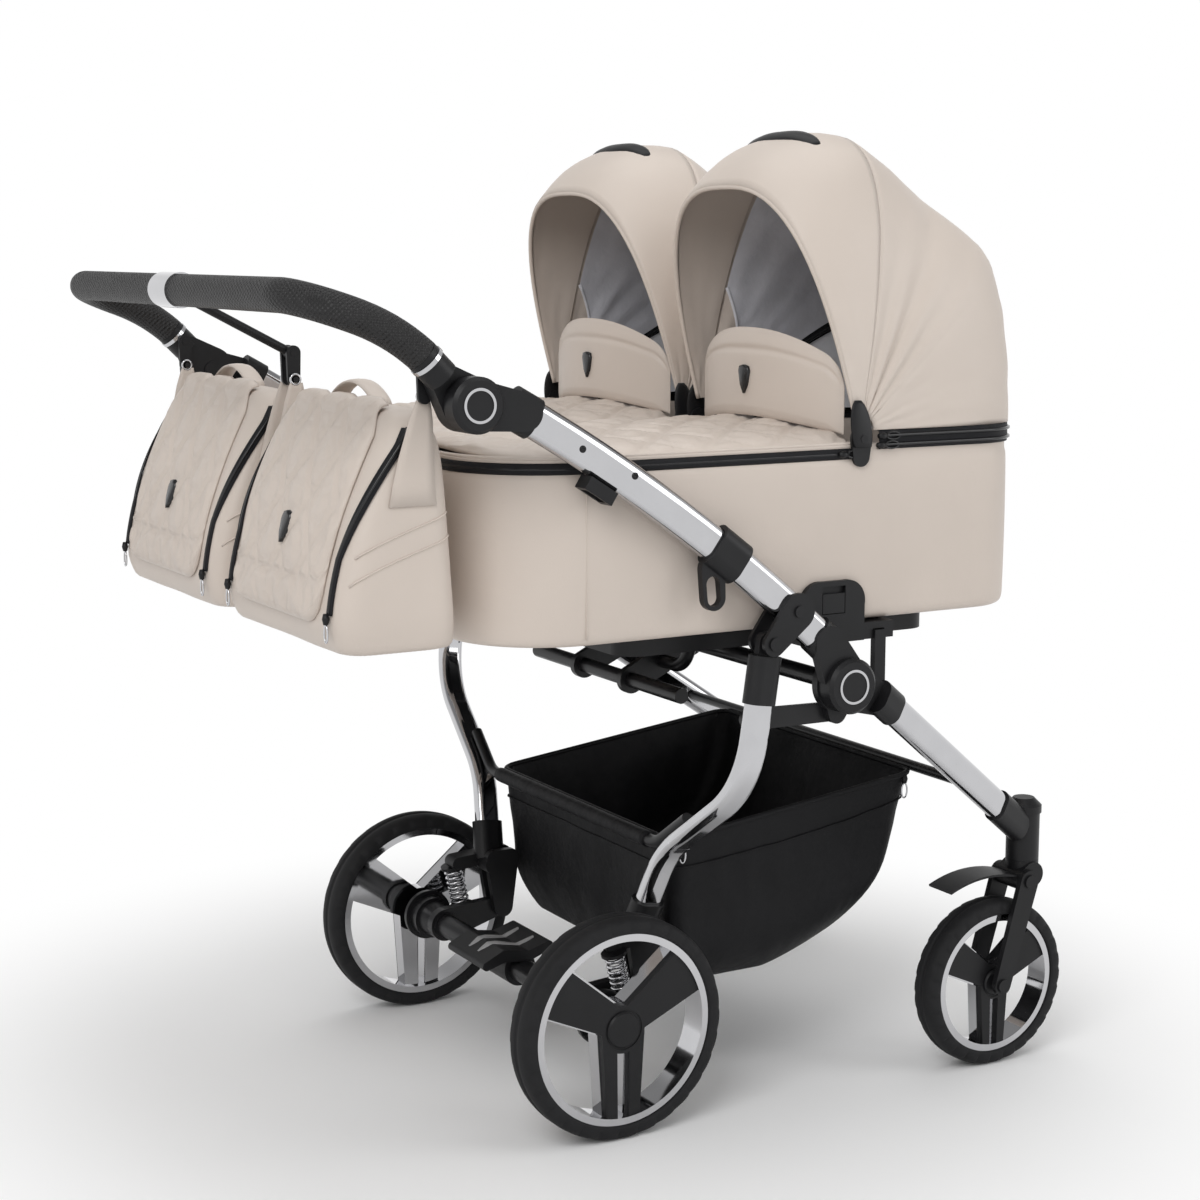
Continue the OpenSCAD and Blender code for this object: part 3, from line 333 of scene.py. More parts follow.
def half_width(x, inset):
    """Half the carrycot's width at x."""
    if x > HEAD - HEAD_R:
        return OUT - HEAD_R + math.sqrt(max((HEAD_R - inset) ** 2 - (x - HEAD + HEAD_R) ** 2, 0))
    if x < FOOT + FOOT_R:
        return OUT - FOOT_R + math.sqrt(max((FOOT_R - inset) ** 2 - (x - FOOT - FOOT_R) ** 2, 0))
    return OUT - inset


def zipper(name, path, body, width):
    """A zip: woven tape along a path with a raised coil on it."""
    tube(name, path, width / 1000, zip_tape, body, sides=8, flat=0.28)
    tube(name + "_coil", path, 0.0021, gloss, body, sides=6)


def zip_pull(name, at, body, down=Vector((0, 0, -1)), side=Vector((0, 1, 0)), material=chrome):
    """A slider with a hanging pull."""
    tube(name + "_slider", [at - down * 0.006, at, at + down * 0.006], [0.003, 0.0045, 0.003], plastic, body,
         sides=8)
    loop = [at + down * (0.016 + 0.010 * math.cos(a)) + side * 0.0045 * math.sin(a) for a in angles(16)]
    tube(name + "_pull", loop, 0.0012, material, body, sides=6, closed=True)


def tub(side, s):
    body, cy = "carrycot_" + side, s * COT_Y
    rows = []
    for inset, z in ((60, 634), (16, 633.4), (7, 634), (2, 638), (0.4, 645), (0, 655), (-0.6, 690),
                     (-1.2, 740), (-0.8, 790), (0, 820), (0.5, 829), (2.5, 831), (2.5, 845), (0.5, 847),
                     (1.5, 849.5), (6, 850.5), (10.5, 849), (11.6, 845), (11.8, 780), (11.8, 690),
                     (11.8, 648)):
        row = []
        for x, y in plan(inset, 176):
            out = 1.2 * wave((x * 0.9, y, z * 0.5 + 900 * s), 0.012) if 650 < z < 830 and inset < 5 else 0
            f = 1 + out / 330
            row.append(P(x * f, cy + y * f, z))
        rows.append(row)
    obj = grid("tub_cover_" + side, rows, leather, body, around=True, cap_first=True)
    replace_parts(subsurf(obj), "tub_" + side)
    foot_run = [P(x, cy + y, ZIP_Z) for x, y in plan(1.2, 240) if x < ZIP_END]
    zipper("tub_zip_" + side, foot_run, body, 6.6)
    # Seams on both long sides near the foot end, and the piping above the zip
    for e in (-1, 1):
        x = -338
        y = half_width(x, -0.6) * e
        line = [P(x, cy + y, z) for z in range(642, 834, 8)]
        tube(f"tub_seam_{side}_{end_letter(e)}", line, 0.0009, leather, body, sides=6)
    piping = [P(x, cy + y, 850.2) for x, y in plan(3.2, 240) if x < ZIP_END]
    tube("tub_piping_" + side, piping, 0.0022, leather, body, sides=8)
    # Double zip band under the hood
    band = [p for p in plan(-0.4, 300) if p[0] > 62]
    k = next(i for i in range(len(band) - 1) if math.dist(band[i], band[i + 1]) > 40)
    band = band[k + 1:] + band[:k + 1]
    rows = [[P(x, cy + y * (1 + out / 180), z) for x, y in band]
            for out, z in ((-6, 841), (0.3, 842), (1.0, 848), (1.0, 858), (0.3, 864), (-6, 865))]
    grid("hood_zip_band_" + side, rows, zip_tape, body)
    for i, z in enumerate((847.5, 858.5)):
        line = [P(x * 1.004, cy + y * 1.007, z) for x, y in band]
        tube(f"hood_zip_coil_{side}_{i}", line, 0.0023, gloss, body, sides=6)
    for e in (-1, 1):
        for k, (x, z) in enumerate(((70, 847), (72, 858), (14, ZIP_Z))):
            zip_pull(f"rim_zip_{side}_{end_letter(e)}{k}", P(x, cy + e * 182.5, z), body, Vector((1, 0, 0)),
                     Vector((0, 0, 1)), gloss)


BADGE = [(0, 19), (9, 17), (11, 11), (7, -6), (0, -17), (-7, -6), (-11, 11), (-9, 17)]


def pad(top, under, flip=False):
    """Points and faces of a closed pad between two equal grids of points."""
    m, n = len(top), len(top[0])
    verts = [p for r in top for p in r] + [p for r in under for p in r]
    faces = []
    for i in range(m - 1):
        for j in range(n - 1):
            q = (i * n + j, (i + 1) * n + j, (i + 1) * n + j + 1, i * n + j + 1)
            faces += [q, tuple(m * n + k for k in q[::-1])]
    rim = list(range(n)) + [i * n + n - 1 for i in range(1, m)]
    rim += [(m - 1) * n + j for j in range(n - 2, -1, -1)] + [i * n for i in range(m - 2, 0, -1)]
    for a, b in zip(rim, rim[1:] + rim[:1]):
        faces.append((a, b, m * n + b, m * n + a))
    return verts, [f[::-1] for f in faces] if flip else faces


SWELL_FRAMES = 16


def swell(verts, faces, sewn, count, pressure, cap, shrink):
    """Let the cloth solver swell a pad's first count points between its sewn ones, by cap mm at most.
    The rest of the pad is held."""
    mesh = bpy.data.meshes.new("pad")
    mesh.from_pydata([tuple(v) for v in verts], [], faces)
    mesh.update()
    obj = bpy.data.objects.new("pad", mesh)
    scene.collection.objects.link(obj)
    obj.vertex_groups.new(name="sewn").add(sorted(set(sewn) | set(range(count, len(verts)))), 1.0, "REPLACE")
    cloth_mod = obj.modifiers.new("cloth", "CLOTH")
    c = cloth_mod.settings
    c.quality = 5
    c.mass = 0.3
    c.tension_stiffness = c.compression_stiffness = 15
    c.shear_stiffness = 5
    c.bending_stiffness = 0.2
    c.use_pressure = True
    c.uniform_pressure_force = pressure
    c.shrink_min = shrink
    c.vertex_group_mass = "sewn"
    c.effector_weights.gravity = 0
    cloth_mod.point_cache.frame_start, cloth_mod.point_cache.frame_end = 1, SWELL_FRAMES
    for k in range(1, SWELL_FRAMES + 1):
        scene.frame_set(k)
    after = obj.evaluated_get(bpy.context.evaluated_depsgraph_get()).data
    out = []
    for v, w in zip(verts, after.vertices):
        d = w.co - v
        out.append(v + d * min(1, cap / 1000 / max(d.length, 1e-9)))
    bpy.data.objects.remove(obj)
    scene.frame_set(1)
    return out, faces


def placed(name, form, y, material, body):
    """A form made about the middle line, set down at y."""
    verts, faces = form
    return make(name, [v + Vector((0, y / 1000, 0)) for v in verts], faces, material, body)


def quilt(u, v, pitch):
    """Distance from the nearest line of a diamond lattice, from 0 on a stitch to 1 inside."""
    a = abs(((u + v) / pitch + 0.5) % 1 - 0.5) * 2
    b = abs(((u - v) / pitch + 0.5) % 1 - 0.5) * 2
    return 1 - math.exp(-(min(a, b) / 0.17) ** 2)


COVER_END = 28.0


def apron_form():
    """The quilted cover over the foot half, about the carrycot's middle line."""
    x0, x1 = FOOT + 3.5, COVER_END
    nx, ny = 112, 80
    top, under, sewn = [], [], []
    for i in range(nx + 1):
        x = x0 + (x1 - x0) * i / nx
        w = half_width(x, 3.5)
        up, low = [], []
        for j in range(ny + 1):
            y = (2 * j / ny - 1) * w
            edge = min(w - abs(y), x - x0)
            z = 853 + 15.5 * (1 - (y / OUT) ** 2) - 7 * math.exp(-edge / 7)
            q = quilt(x, y, 92)
            if q < 0.3 or edge < 5 or x > x1 - 4:
                sewn.append(i * (ny + 1) + j)
            up.append(P(x, y, z + 2.2 * q * (1 - math.exp(-edge / 10))))
            low.append(P(x, y, min(z, 868) - 5))
        top.append(up)
        under.append(low)
    return swell(*pad(top, under), sewn, (nx + 1) * (ny + 1), pressure=2.2, cap=3.4, shrink=-0.03)


def apron(side, s, form):
    obj = placed("apron_cover_" + side, form, s * COT_Y, leather, "carrycot_" + side)
    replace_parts(obj, "apron_" + side)


# The wind flap stands on an arc of radius FLAP_R about FLAP_X
FLAP_R, FLAP_HALF, FLAP_CORNER = 356.0, 156.0, 26
FLAP_X = COVER_END - 1 + FLAP_R - 36


def flap_form():
    """The wind flap that stands across the cover: a bowed pad with an arched seam on it."""
    nu, nv = 72, 36
    top, under, sewn = [], [], []
    for i in range(nv + 1):
        f = i / nv
        up, low = [], []
        for j in range(nu + 1):
            y = (2 * j / nu - 1) * FLAP_HALF
            t = abs(y) / FLAP_HALF
            z0 = 874.2 - y * y / (2 * 770.0)
            past = max(abs(y) - FLAP_HALF + FLAP_CORNER, 0)
            drop = FLAP_CORNER - math.sqrt(max(FLAP_CORNER ** 2 - past ** 2, 0))
            crest = 985 - 42 * t ** 2.3 - drop
            z = z0 + (crest - z0) * f
            edge = min((FLAP_HALF - abs(y)) / 16, (1 - f) * 6, f * 9, 1)
            seam = math.exp(-((crest - z - 27 + 15 * t * t) / 3.2) ** 2)
            if edge < 0.2 or seam > 0.4:
                sewn.append(i * (nu + 1) + j)
            puff = 4.4 * math.sqrt(max(edge, 0)) - 2.4 * seam * (edge > 0.5)
            for layer, r in ((up, FLAP_R - 6 + puff), (low, FLAP_R - 6 - puff)):
                layer.append(P(FLAP_X - math.sqrt(r * r - y * y), y, z))
        top.append(up)
        under.append(low)
    return swell(*pad(top, under, True), sewn, (nu + 1) * (nv + 1), pressure=2.0, cap=2.6, shrink=-0.02)


def flap(side, s, form):
    body, cy = "flap_" + side, s * COT_Y
    obj = placed("flap_cover_" + side, form, cy, leather, body)
    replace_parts(subsurf(obj), "flap_" + side)
    # Plain black badge, left bare
    rows = []
    for k, lift in ((1.0, -2), (1.0, 2.2), (0.8, 3.0), (0.0, 3.0)):
        rows.append([P(FLAP_X - math.sqrt((FLAP_R + lift) ** 2 - (a * k) ** 2), cy + a * k, 919 + b * k)
                     for a, b in BADGE])
    grid("flap_badge_" + side, rows, gloss, body, around=True)


# Hood: bows that fan out about one pivot line, from 0 degrees at the tub's rear to RIM at the visor's edge

PIVOT_X, PIVOT_Z = 40, 865
SPLIT, RIM, CROWN, RIM_R, REAR = 80.0, 106.0, 361.0, 305.0, 269.0
REAR_SEAM, INNER_ZIP, ZIP_WIDTH = 41.0, 28.0, 3.4
HOOD_HALF, FLAT_REAR, FLAT_SIDE = 178.0, 14, 22
# The cloth of each bow starts FIRST degrees above the tub and spans ACROSS degrees
FIRST, ACROSS = 6.5, 167


def hood_point(a, f, t, cy):
    """Point of the hood at bow angle a and angle f along the bow, t inside its outer face."""
    reach = (REAR + (CROWN - REAR) * math.sin(math.radians(90 * a / SPLIT)) if a < SPLIT
             else CROWN - (CROWN - RIM_R) * ((a - SPLIT) / (RIM - SPLIT)) ** 2)
    # The cloth is drawn flat between the bows and the rear seam
    if a < REAR_SEAM:
        reach -= FLAT_REAR * math.sin(math.pi * a / REAR_SEAM)
    elif a < SPLIT:
        reach -= FLAT_SIDE * math.sin(math.pi * (a - REAR_SEAM) / (SPLIT - REAR_SEAM))
    n = 6 - 3.2 * min(1, a / 60)
    w, r = HOOD_HALF - t, reach - t
    c, d = math.cos(math.radians(f)), math.sin(math.radians(f))
    k = ((abs(c) / w) ** n + (d / r) ** n) ** (-1 / n)
    y, out = k * c, k * d
    tilt = math.radians(a)
    return P(PIVOT_X + out * math.cos(tilt), cy + y, PIVOT_Z + out * math.sin(tilt))


def hood(side, s):
    cy = s * COT_Y
    cot, lid = "carrycot_" + side, "hood_" + side

    def skin(name, a0, a1, steps, t, material, flip):
        rows = []
        for i in range(steps + 1):
            a = a0 + (a1 - a0) * i / steps
            row = []
            for j in range(73):
                f = FIRST + ACROSS * j / 72
                low = min(f, 180 - f)
                sag = t + 1.0 * wave((a * 3, f * 2.4, 40 * s), 0.05)
                if REAR_SEAM < a < SPLIT:
                    # Soft folds that rise from the pivot
                    q = (a - REAR_SEAM) / (SPLIT - REAR_SEAM)
                    fold = 3.4 * math.sin(math.pi * q) * (1 - math.cos(6 * math.pi * q))
                    sag += fold * math.exp(-((low - 32) / 24) ** 2)
                if a < SPLIT:
                    sag += 1.8 * math.exp(-((a - REAR_SEAM) / 1.2) ** 2)
                row.append(hood_point(a, f, max(sag, t - 1), cy))
            rows.append(row)
        return grid(name, rows, material, None, flip=flip)

    def blended(obj):
        """Cloth between the tub and the front bow, with its placement baked into its points."""
        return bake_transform(obj)

    def along(a, first, across, t):
        """The bow at angle a as 61 points, from the angle first over the angle across."""
        return [hood_point(a, first + across * j / 60, t, cy) for j in range(61)]

    front = thick(skin("visor_" + side, SPLIT + 0.15, RIM, 16, 0.3, leather, False), 2.2)
    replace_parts(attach(front, lid), "hood_front_" + side)
    facing = skin("visor_facing_" + side, SPLIT + 0.15, RIM - 1.0, 12, 4.0, leather, True)
    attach(facing, lid)
    rear = thick(skin("hood_skin_" + side, 0.0, SPLIT, 44, 0.3, leather, False), 2.2)
    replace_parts(blended(rear), "hood_rear_" + side)
    # Lining: a grey roof between beige sides, an inner zip, and a paler part behind it
    bows = [INNER_ZIP * i / 10 for i in range(10)] + [INNER_ZIP, INNER_ZIP + ZIP_WIDTH]
    bows += [INNER_ZIP + ZIP_WIDTH + (SPLIT - INNER_ZIP - ZIP_WIDTH) * i / 24 for i in range(1, 25)]
    rows = []
    border = ([], [])
    flank, roof = 12, 48
    for a in bows:
        low = max(9.0, 46 * (max(a - INNER_ZIP, 0) / (SPLIT - INNER_ZIP)) ** 0.8)
        half = [FIRST + (low - FIRST) * j / flank for j in range(flank)]
        across = half + [low + (180 - 2 * low) * j / roof for j in range(roof + 1)]
        across += [180 - c for c in reversed(half)]
        rows.append([hood_point(a, c, 9 + 3.2 * wave((a * 2.6, c * 1.1, 30 * s), 0.06), cy) for c in across])
        if a > INNER_ZIP:
            border[0].append(rows[-1][flank])
            border[1].append(rows[-1][flank + roof])
    inside = grid("hood_lining_" + side, rows, lining, None, flip=True)
    for extra in (leather, zip_tape, pale_lining):
        inside.data.materials.append(extra)
    columns = len(rows[0]) - 1
    for face in inside.data.polygons:
        a, j = bows[face.index // columns], face.index % columns
        if a < INNER_ZIP:
            face.material_index = 3
        elif a == INNER_ZIP:
            face.material_index = 2
        elif j < flank or j >= flank + roof:
            face.material_index = 1
    blended(inside)
    for k, line in enumerate(border):
        blended(tube(f"lining_piping_{side}_{k}", line, 0.0024, lining, None, sides=8))
    line = along(INNER_ZIP + ZIP_WIDTH / 2, 10, 160, 11)
    blended(tube("inner_zip_" + side, line, 0.0026, gloss, None, sides=6))
    line = along(REAR_SEAM, 7, 166, 1.4)
    blended(tube("hood_seam_" + side, line, 0.0011, leather, None, sides=6))
    crown = hood_point(88, 90, 5, cy)
    ring = [crown + Vector((0, 0.011 * math.sin(g), 0.011 * math.cos(g) - 0.012)) for g in angles(20)]
    tube("toy_loop_" + side, ring, 0.002, leather, lid, sides=6, closed=True)
    # Rolled rim, bow seams and the black hand grip on the crown
    line = along(RIM, FIRST, ACROSS, 1.6)
    tube("visor_rim_" + side, line, 0.0030, leather, lid, sides=10)
    for i, a in enumerate((SPLIT + 0.8, SPLIT + 2.6)):
        tube(f"bow_seam_{side}_{i}", along(a, 8, 164, 0.4), 0.0011, leather, lid, sides=6)
    rows = []
    for i in range(25):
        f = 77 + 26 * i / 24
        rise = 1.5 + 5.5 * math.sin(math.pi * i / 24) ** 0.6
        ring = []
        for g in angles(12):
            a = 89.5 + 2.9 * math.cos(g) * (0.55 + 0.45 * math.sin(math.pi * i / 24))
            ring.append(hood_point(a, f, -rise + 6.0 - 6.5 * max(math.sin(g), -0.6), cy))
        rows.append(ring)
    grid("hood_grip_" + side, rows, plastic, lid, around=True, cap_first=True, cap_last=True)
    # Side arms on the pivots
    for e in (-1, 1):
        rows = []
        for t in range(13):
            q = t / 12
            w = 15.5 * math.sqrt(max(1 - (1.5 * q - 0.55) ** 2, 0.02))
            x, z = PIVOT_X - 6 * q, 846 + 56 * q
            rows.append([P(x + w * math.cos(g), cy + e * (186.4 - 4 * q * q + 2.6 * math.sin(g)), z)
                         for g in angles(12)])
        grid(f"hood_arm_{side}_{end_letter(e)}", rows, plastic, lid, around=True,
             cap_first=True, cap_last=True)


def mattress(side, s):
    body, cy = "carrycot_" + side, s * COT_Y
    rows = []
    for inset, z in ((60, 646), (20, 645.5), (17, 652), (16.5, 662), (19, 674), (30, 679.5), (60, 680.6),
                     (70, 680.8)):
        rows.append([P(x, cy + y, z) for x, y in plan(inset, 120)])
    mid = [P(-60 + (v.x * 1000 - HUB_X + 60) * 0.6, cy + (v.y * 1000 - cy) * 0.5, 680.9) for v in rows[-1]]
    obj = grid("mattress_pad_" + side, rows + [mid], ticking, body, around=True,
               cap_first=True, cap_last=True)
    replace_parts(obj, "mattress_" + side)


# Bags

BAG_F, BAG_LOW, BAG_TOP, BAG_R = -485.0, 640.0, 912.0, 26.0
BAG_Y, TAB_OUT, BAND_Z, BADGE_Z = 194.5, 179.5, 722, 770
HANG_X, HANG_Z, RING_R = -537, 925, 6.2


def rise_at(z):
    """How far up the bag z is, from 0 at the bottom to 1 at the top."""
    return (z - BAG_LOW - 1) / (BAG_TOP - BAG_LOW - 2)


def back_at(z, lift):
    """The bag's rear face at height z, moved out by lift."""
    q = rise_at(z)
    belly = 3 * math.sin(math.pi * min(max(q, 0) / 0.9, 1))
    return BAG_F - 152 + 82 * (max(q - 0.1, 0) / 0.9) ** 1.5 - belly - lift


def bag_half(z):
    """Half the bag's width at height z."""
    q = rise_at(z)
    return 176 - 10 * q - 22 * max(q - 0.86, 0) / 0.14 - 50 * max(0.12 - q, 0) + 3 * math.sin(math.pi * q)


def bag_front(z):
    """The bag's face towards the pram at height z."""
    q = rise_at(z)
    return BAG_F - 3 - 16 * q - 10 * max(q - 0.85, 0) / 0.15


def bag_side(x, z):
    """Half the bag's width at x and z, with its rounded corners."""
    past = max(back_at(z, 0) + BAG_R - x, x - bag_front(z) + BAG_R, 0)
    return bag_half(z) - BAG_R + math.sqrt(max(BAG_R ** 2 - past ** 2, 0))


def bag_flap_form():
    """Quilted flap over the face that looks back and round the top edge, with a plain band along its foot."""
    n, m = 64, 80
    top, under, sewn = [], [], []
    for i in range(m + 1):
        q = i / m
        up, low = [], []
        for j in range(n + 1):
            t = 2 * j / n - 1
            drop = max(0, abs(t) - 0.72) / 0.28
            turn = math.pi / 2 * max(q - 0.9, 0) / 0.1
            corner = max(1 - q / 0.5, 0) * 34 * (1 - math.sqrt(max(1 - drop * drop, 0)))
            z = 676 + 224 * min(q / 0.9, 1) + corner
            w = min(bag_half(z), bag_half(880)) - 36
            y = t * w
            edge = min((1 - abs(t)) * w / 9, q * 240 / 9, 1)
            stitch = quilt(y * 1.35, (z + 14 * turn - 640) * 0.95, 104) if z > BAND_Z else 1.0
            stitch = min(stitch, 1 - math.exp(-((z - BAND_Z) / 4.0) ** 2))
            if stitch < 0.3 or edge < 0.4 or q > 0.97:
                sewn.append(i * (n + 1) + j)
            for layer, lift in ((up, 2.5 + (3.0 + 3.4 * stitch) * math.sqrt(max(edge, 0))), (low, 0.5)):
                x = back_at(z, 0) + 13 - (13 + lift) * math.cos(turn)
                layer.append(P(x, y, z + (11 + lift) * math.sin(turn)))
        top.append(up)
        under.append(low)
    return swell(*pad(top, under), sewn, (n + 1) * (m + 1), pressure=2.2, cap=4.0, shrink=-0.03)


def bag(side, s, form):
    body = "bag_" + side
    cy = s * BAG_Y
    rows = []
    for q in [0, 0.015, 0.05, 0.12, 0.2, 0.3, 0.4, 0.5, 0.6, 0.7, 0.8, 0.88, 0.94, 0.98, 1.0]:
        z = BAG_LOW + 1 + (BAG_TOP - BAG_LOW - 2) * q
        front = bag_front(z)
        back = back_at(z, 0) + 100 * max(0.12 - q, 0)
        w = bag_half(z)
        if q in (0, 1.0):
            front, back, w = front - 14, back + 14, w - 14
        row = []
        for x, y in rounded(front, back, w, min(BAG_R, (front - back) / 2 - 1), 140):
            bump = 1.6 * wave((x, y, z + 500 * s), 0.018)
            row.append(P(x + bump * (1 if x > -560 else -1), cy + y, z))
        rows.append(row)
    obj = grid("bag_body_" + side, rows, leather, body, around=True, cap_first=True,
               cap_last=True)
    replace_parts(subsurf(obj), "bag_" + side)

    face = placed("bag_flap_" + side, form, cy, leather, body)
    for e in (-1, 1):
        end = side + "_" + end_letter(e)
        # Zip that starts on the rear face and turns round the corner as it climbs
        tape, coil = [], []
        for k in range(41):
            z = 690 + 200 * k / 40
            turn = 1.35 * max(k / 40 - 0.3, 0) / 0.7
            spot = []
            for g in (turn - 0.24, turn, turn + 0.24):
                out = BAG_R + (1.6 if g == turn else 1.0)
                x = back_at(z, 0) + BAG_R - out * math.cos(max(g, 0))
                y = bag_half(z) - BAG_R + out * math.sin(max(g, 0)) + BAG_R * min(g, 0)
                spot.append(P(x, cy + e * y, z))
            tape.append(spot if e > 0 else spot[::-1])
            coil.append(spot[1])
        thick(grid("bag_zip_" + end, tape, zip_tape, body), 1.2, 0)
        tube("bag_zip_coil_" + end, coil, 0.0022, gloss, body, sides=6)
        zip_pull("bag_zip_" + end, coil[0] + Vector((-0.003, 0, -0.004)), body)
        # Seams of the side pocket
        for k, (z0, climb) in enumerate(((752, 44), (722, 48))):
            line = []
            for j in range(25):
                z = z0 + climb * (j / 24) ** 0.7
                x = back_at(z, -9) + (bag_front(z) - 3 - back_at(z, -9)) * j / 24
                line.append(P(x, cy + e * (bag_side(x, z) + 0.3), z))
            tube(f"bag_seam_{end}_{k}", line, 0.0011, leather, body, sides=6)
        # Leather tab that widens from the ring to the pocket, and the ring that hangs on the peg
        y = s * (BAG_Y + e * s * TAB_OUT)
        rows = []
        for z, w, out in ((921, 8, 0), (914, 10, 0.2), (898, 14, 1.5), (880, 17, 3.5), (858, 21, 6),
                          (830, 25, 8), (806, 28, 9)):
            gap = max(bag_half(z) + 1.4, TAB_OUT - out) if z < 890 else TAB_OUT - out
            rows.append([P(-536 + w * c - (921 - z) * 0.1, cy + e * gap, z) for c in (-1, -0.5, 0, 0.5, 1)])
        tab = thick(grid("bag_tab_" + end, rows, leather, body), 2.0, 0)
        ring = [P(HANG_X + RING_R * math.cos(g), y, HANG_Z + RING_R * math.sin(g)) for g in angles(24)]
        tube("bag_ring_" + end, ring, 0.0017, chrome, body, sides=8, closed=True)
    # Low carry strap
    path = []
    for k in range(25):
        q = k / 24
        path.append(P(BAG_F - 46, cy - 62 + 124 * q, 908 + 24 * math.sin(math.pi * q) ** 0.7))
    tube("bag_strap_" + side, path, 0.003, leather, body, sides=12, flat=4.2)
    rows = []
    for k, lift in ((1.0, 4), (1.0, 11.5), (0.8, 12.3), (0.0, 12.3)):
        rows.append([P(back_at(BADGE_Z + b * k, lift), cy + a * k, BADGE_Z + b * k) for a, b in BADGE])
    grid("bag_badge_" + side, rows, gloss, body, around=True)


# Basket

BASKET_HALF = 236.0


def basket():
    def side_x(q):
        """Rear and front edge of the basket at depth q, from 0 at the mouth to 1 at the floor's edge."""
        rear = -133 + 16 * q ** 1.5
        front = 247 - 70 * q ** 1.6
        return rear, front

    def top_z(x):
        return 345 + (x + 129) * 0.1208

    def floor_z(x):
        q = max(0, x - 30) / 145
        p = max(0, -70 - x) / 50
        return 141 + 52 * q ** 1.3 + 14 * p * p

    rows = []
    for q in (0, 0.02, 0.06, 0.12, 0.2, 0.3, 0.4, 0.5, 0.6, 0.7, 0.8, 0.88, 0.94, 0.98, 1.0):
        rear, front = side_x(q)
        tuck = 46 * max(0, q - 0.7) ** 2 / 0.09
        w = BASKET_HALF - 2 - 8 * math.sin(math.pi * min(q * 1.1, 1)) - tuck
        row = []
        for x, y in rounded(front - tuck * 0.5, rear + tuck * 0.35, w, 22, 200):
            z = top_z(x) + (floor_z(x) - top_z(x)) * q
            slack = math.sin(math.pi * q)
            fold = slack * (6.0 * wave((x, y, z * 0.3), 0.022) + 2.4 * wave((x, y, z * 1.2 + x), 0.05))
            k = 1 - fold / 230
            row.append(P(50 + (x - 50) * k, y * k, z + 2.5 * slack * wave((x, y, 5), 0.02)))
        rows.append(row)
    last = rows[-1]
    for f in (0.75, 0.45, 0.15):
        rows.append([P(40 + (v.x * 1000 - HUB_X - 40) * f, v.y * 1000 * f, 0) for v in last])
        for v in rows[-1]:
            v.z = (floor_z(v.x * 1000 - HUB_X) - 1.5) / 1000
    obj = grid("basket_cloth", rows, cloth, None, around=True, cap_last=True, flip=True)
    subsurf(thick(obj, 1.6))
    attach(obj, "chassis")
    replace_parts(obj, "basket")
    hem = []
    for v in rows[0]:
        x = v.x * 1000 - HUB_X
        hem.append(P(x, v.y * 1000, top_z(x) + 1))
    tube("basket_hem", hem, 0.0036, cloth, "chassis", sides=8, closed=True)
    band = [v + Vector((math.copysign(0.0006, v.x - 0.19), math.copysign(0.0012, v.y), 0)) for v in rows[4]]
    tube("basket_seam", band, 0.0012, cloth, "chassis", sides=6, closed=True)
    for y in (-233, 233):
        for x in (-116, 232):
            zip_pull(f"basket_pull_{end_letter(y)}{end_letter(x)}", P(x, y, top_z(x) - 6), "chassis",
                     side=Vector((1, 0, 0)))
    # Cloth sleeve rolled round the rear bar
    lean = math.radians(8.4)
    drop = 280 / math.cos(lean)
    bar_x, bar_z = -109 - drop * math.sin(lean), 344
    path = [P(bar_x, y, bar_z) for y in range(-206, 207, 8)]
    radius = [0.0102 + 0.0006 * wave((0, i * 9, 0), 0.11) for i in range(len(path))]
    tube("basket_sleeve", path, radius, cloth, "rear_legs", sides=14)


# Wheels


def tyre(name, node, body, centre, y, d, w):
    """A tyre with a grooved crown and a ring of wedge notches on both shoulders."""
    r, h = d / 2, w / 2
    half = [(r - 18.8, 2), (r - 17, 0.4), (r - 11, 0), (r - 6, 1.2), (r - 2.6, 4.6), (r - 0.8, 9), (r, 15)]
    groove = [(r, -4), (r - 1.4, -2.6), (r - 1.4, 2.6), (r, 4)]
    profile = [(rr, -h + off) for rr, off in half] + groove + [(rr, h - off) for rr, off in reversed(half)]
    notches, steps = 30, 6
    rows = []
    for rr, yy in profile:
        row = []
        for k, a in enumerate(angles(notches * steps)):
            dip = 0.0
            step = k % steps
            if r - 12 < rr < r - 2 and step in (1, 2, 3):
                dip = (2.6, 1.6, 0.5)[step - 1] * (1 if rr < r - 5 else 0.6)
            across = yy - math.copysign(dip, yy)
            row.append(P(centre[0] + rr * math.cos(a), y + across, centre[1] + rr * math.sin(a)))
        rows.append(row)
    obj = grid(name, rows + [rows[0]], rubber, body, around=True)
    m = obj.modifiers.new("edges", "BEVEL")
    m.width, m.segments, m.limit_method, m.angle_limit = 0.0004, 1, "ANGLE", math.radians(35)
    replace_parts(obj, node)


def wheels():
    sizes = (("rear", (AXLE_X, AXLE_Z), 288, 280, 48), ("front", (318, 113), 312, 226, 42))
    for side, s in SIDES:
        for end, centre, y, d, w in sizes:
            tyre(f"{end}_tyre_tread_{side}", f"{end}_tyre_{side}", f"{end}_wheel_{side}", centre, s * y, d, w)


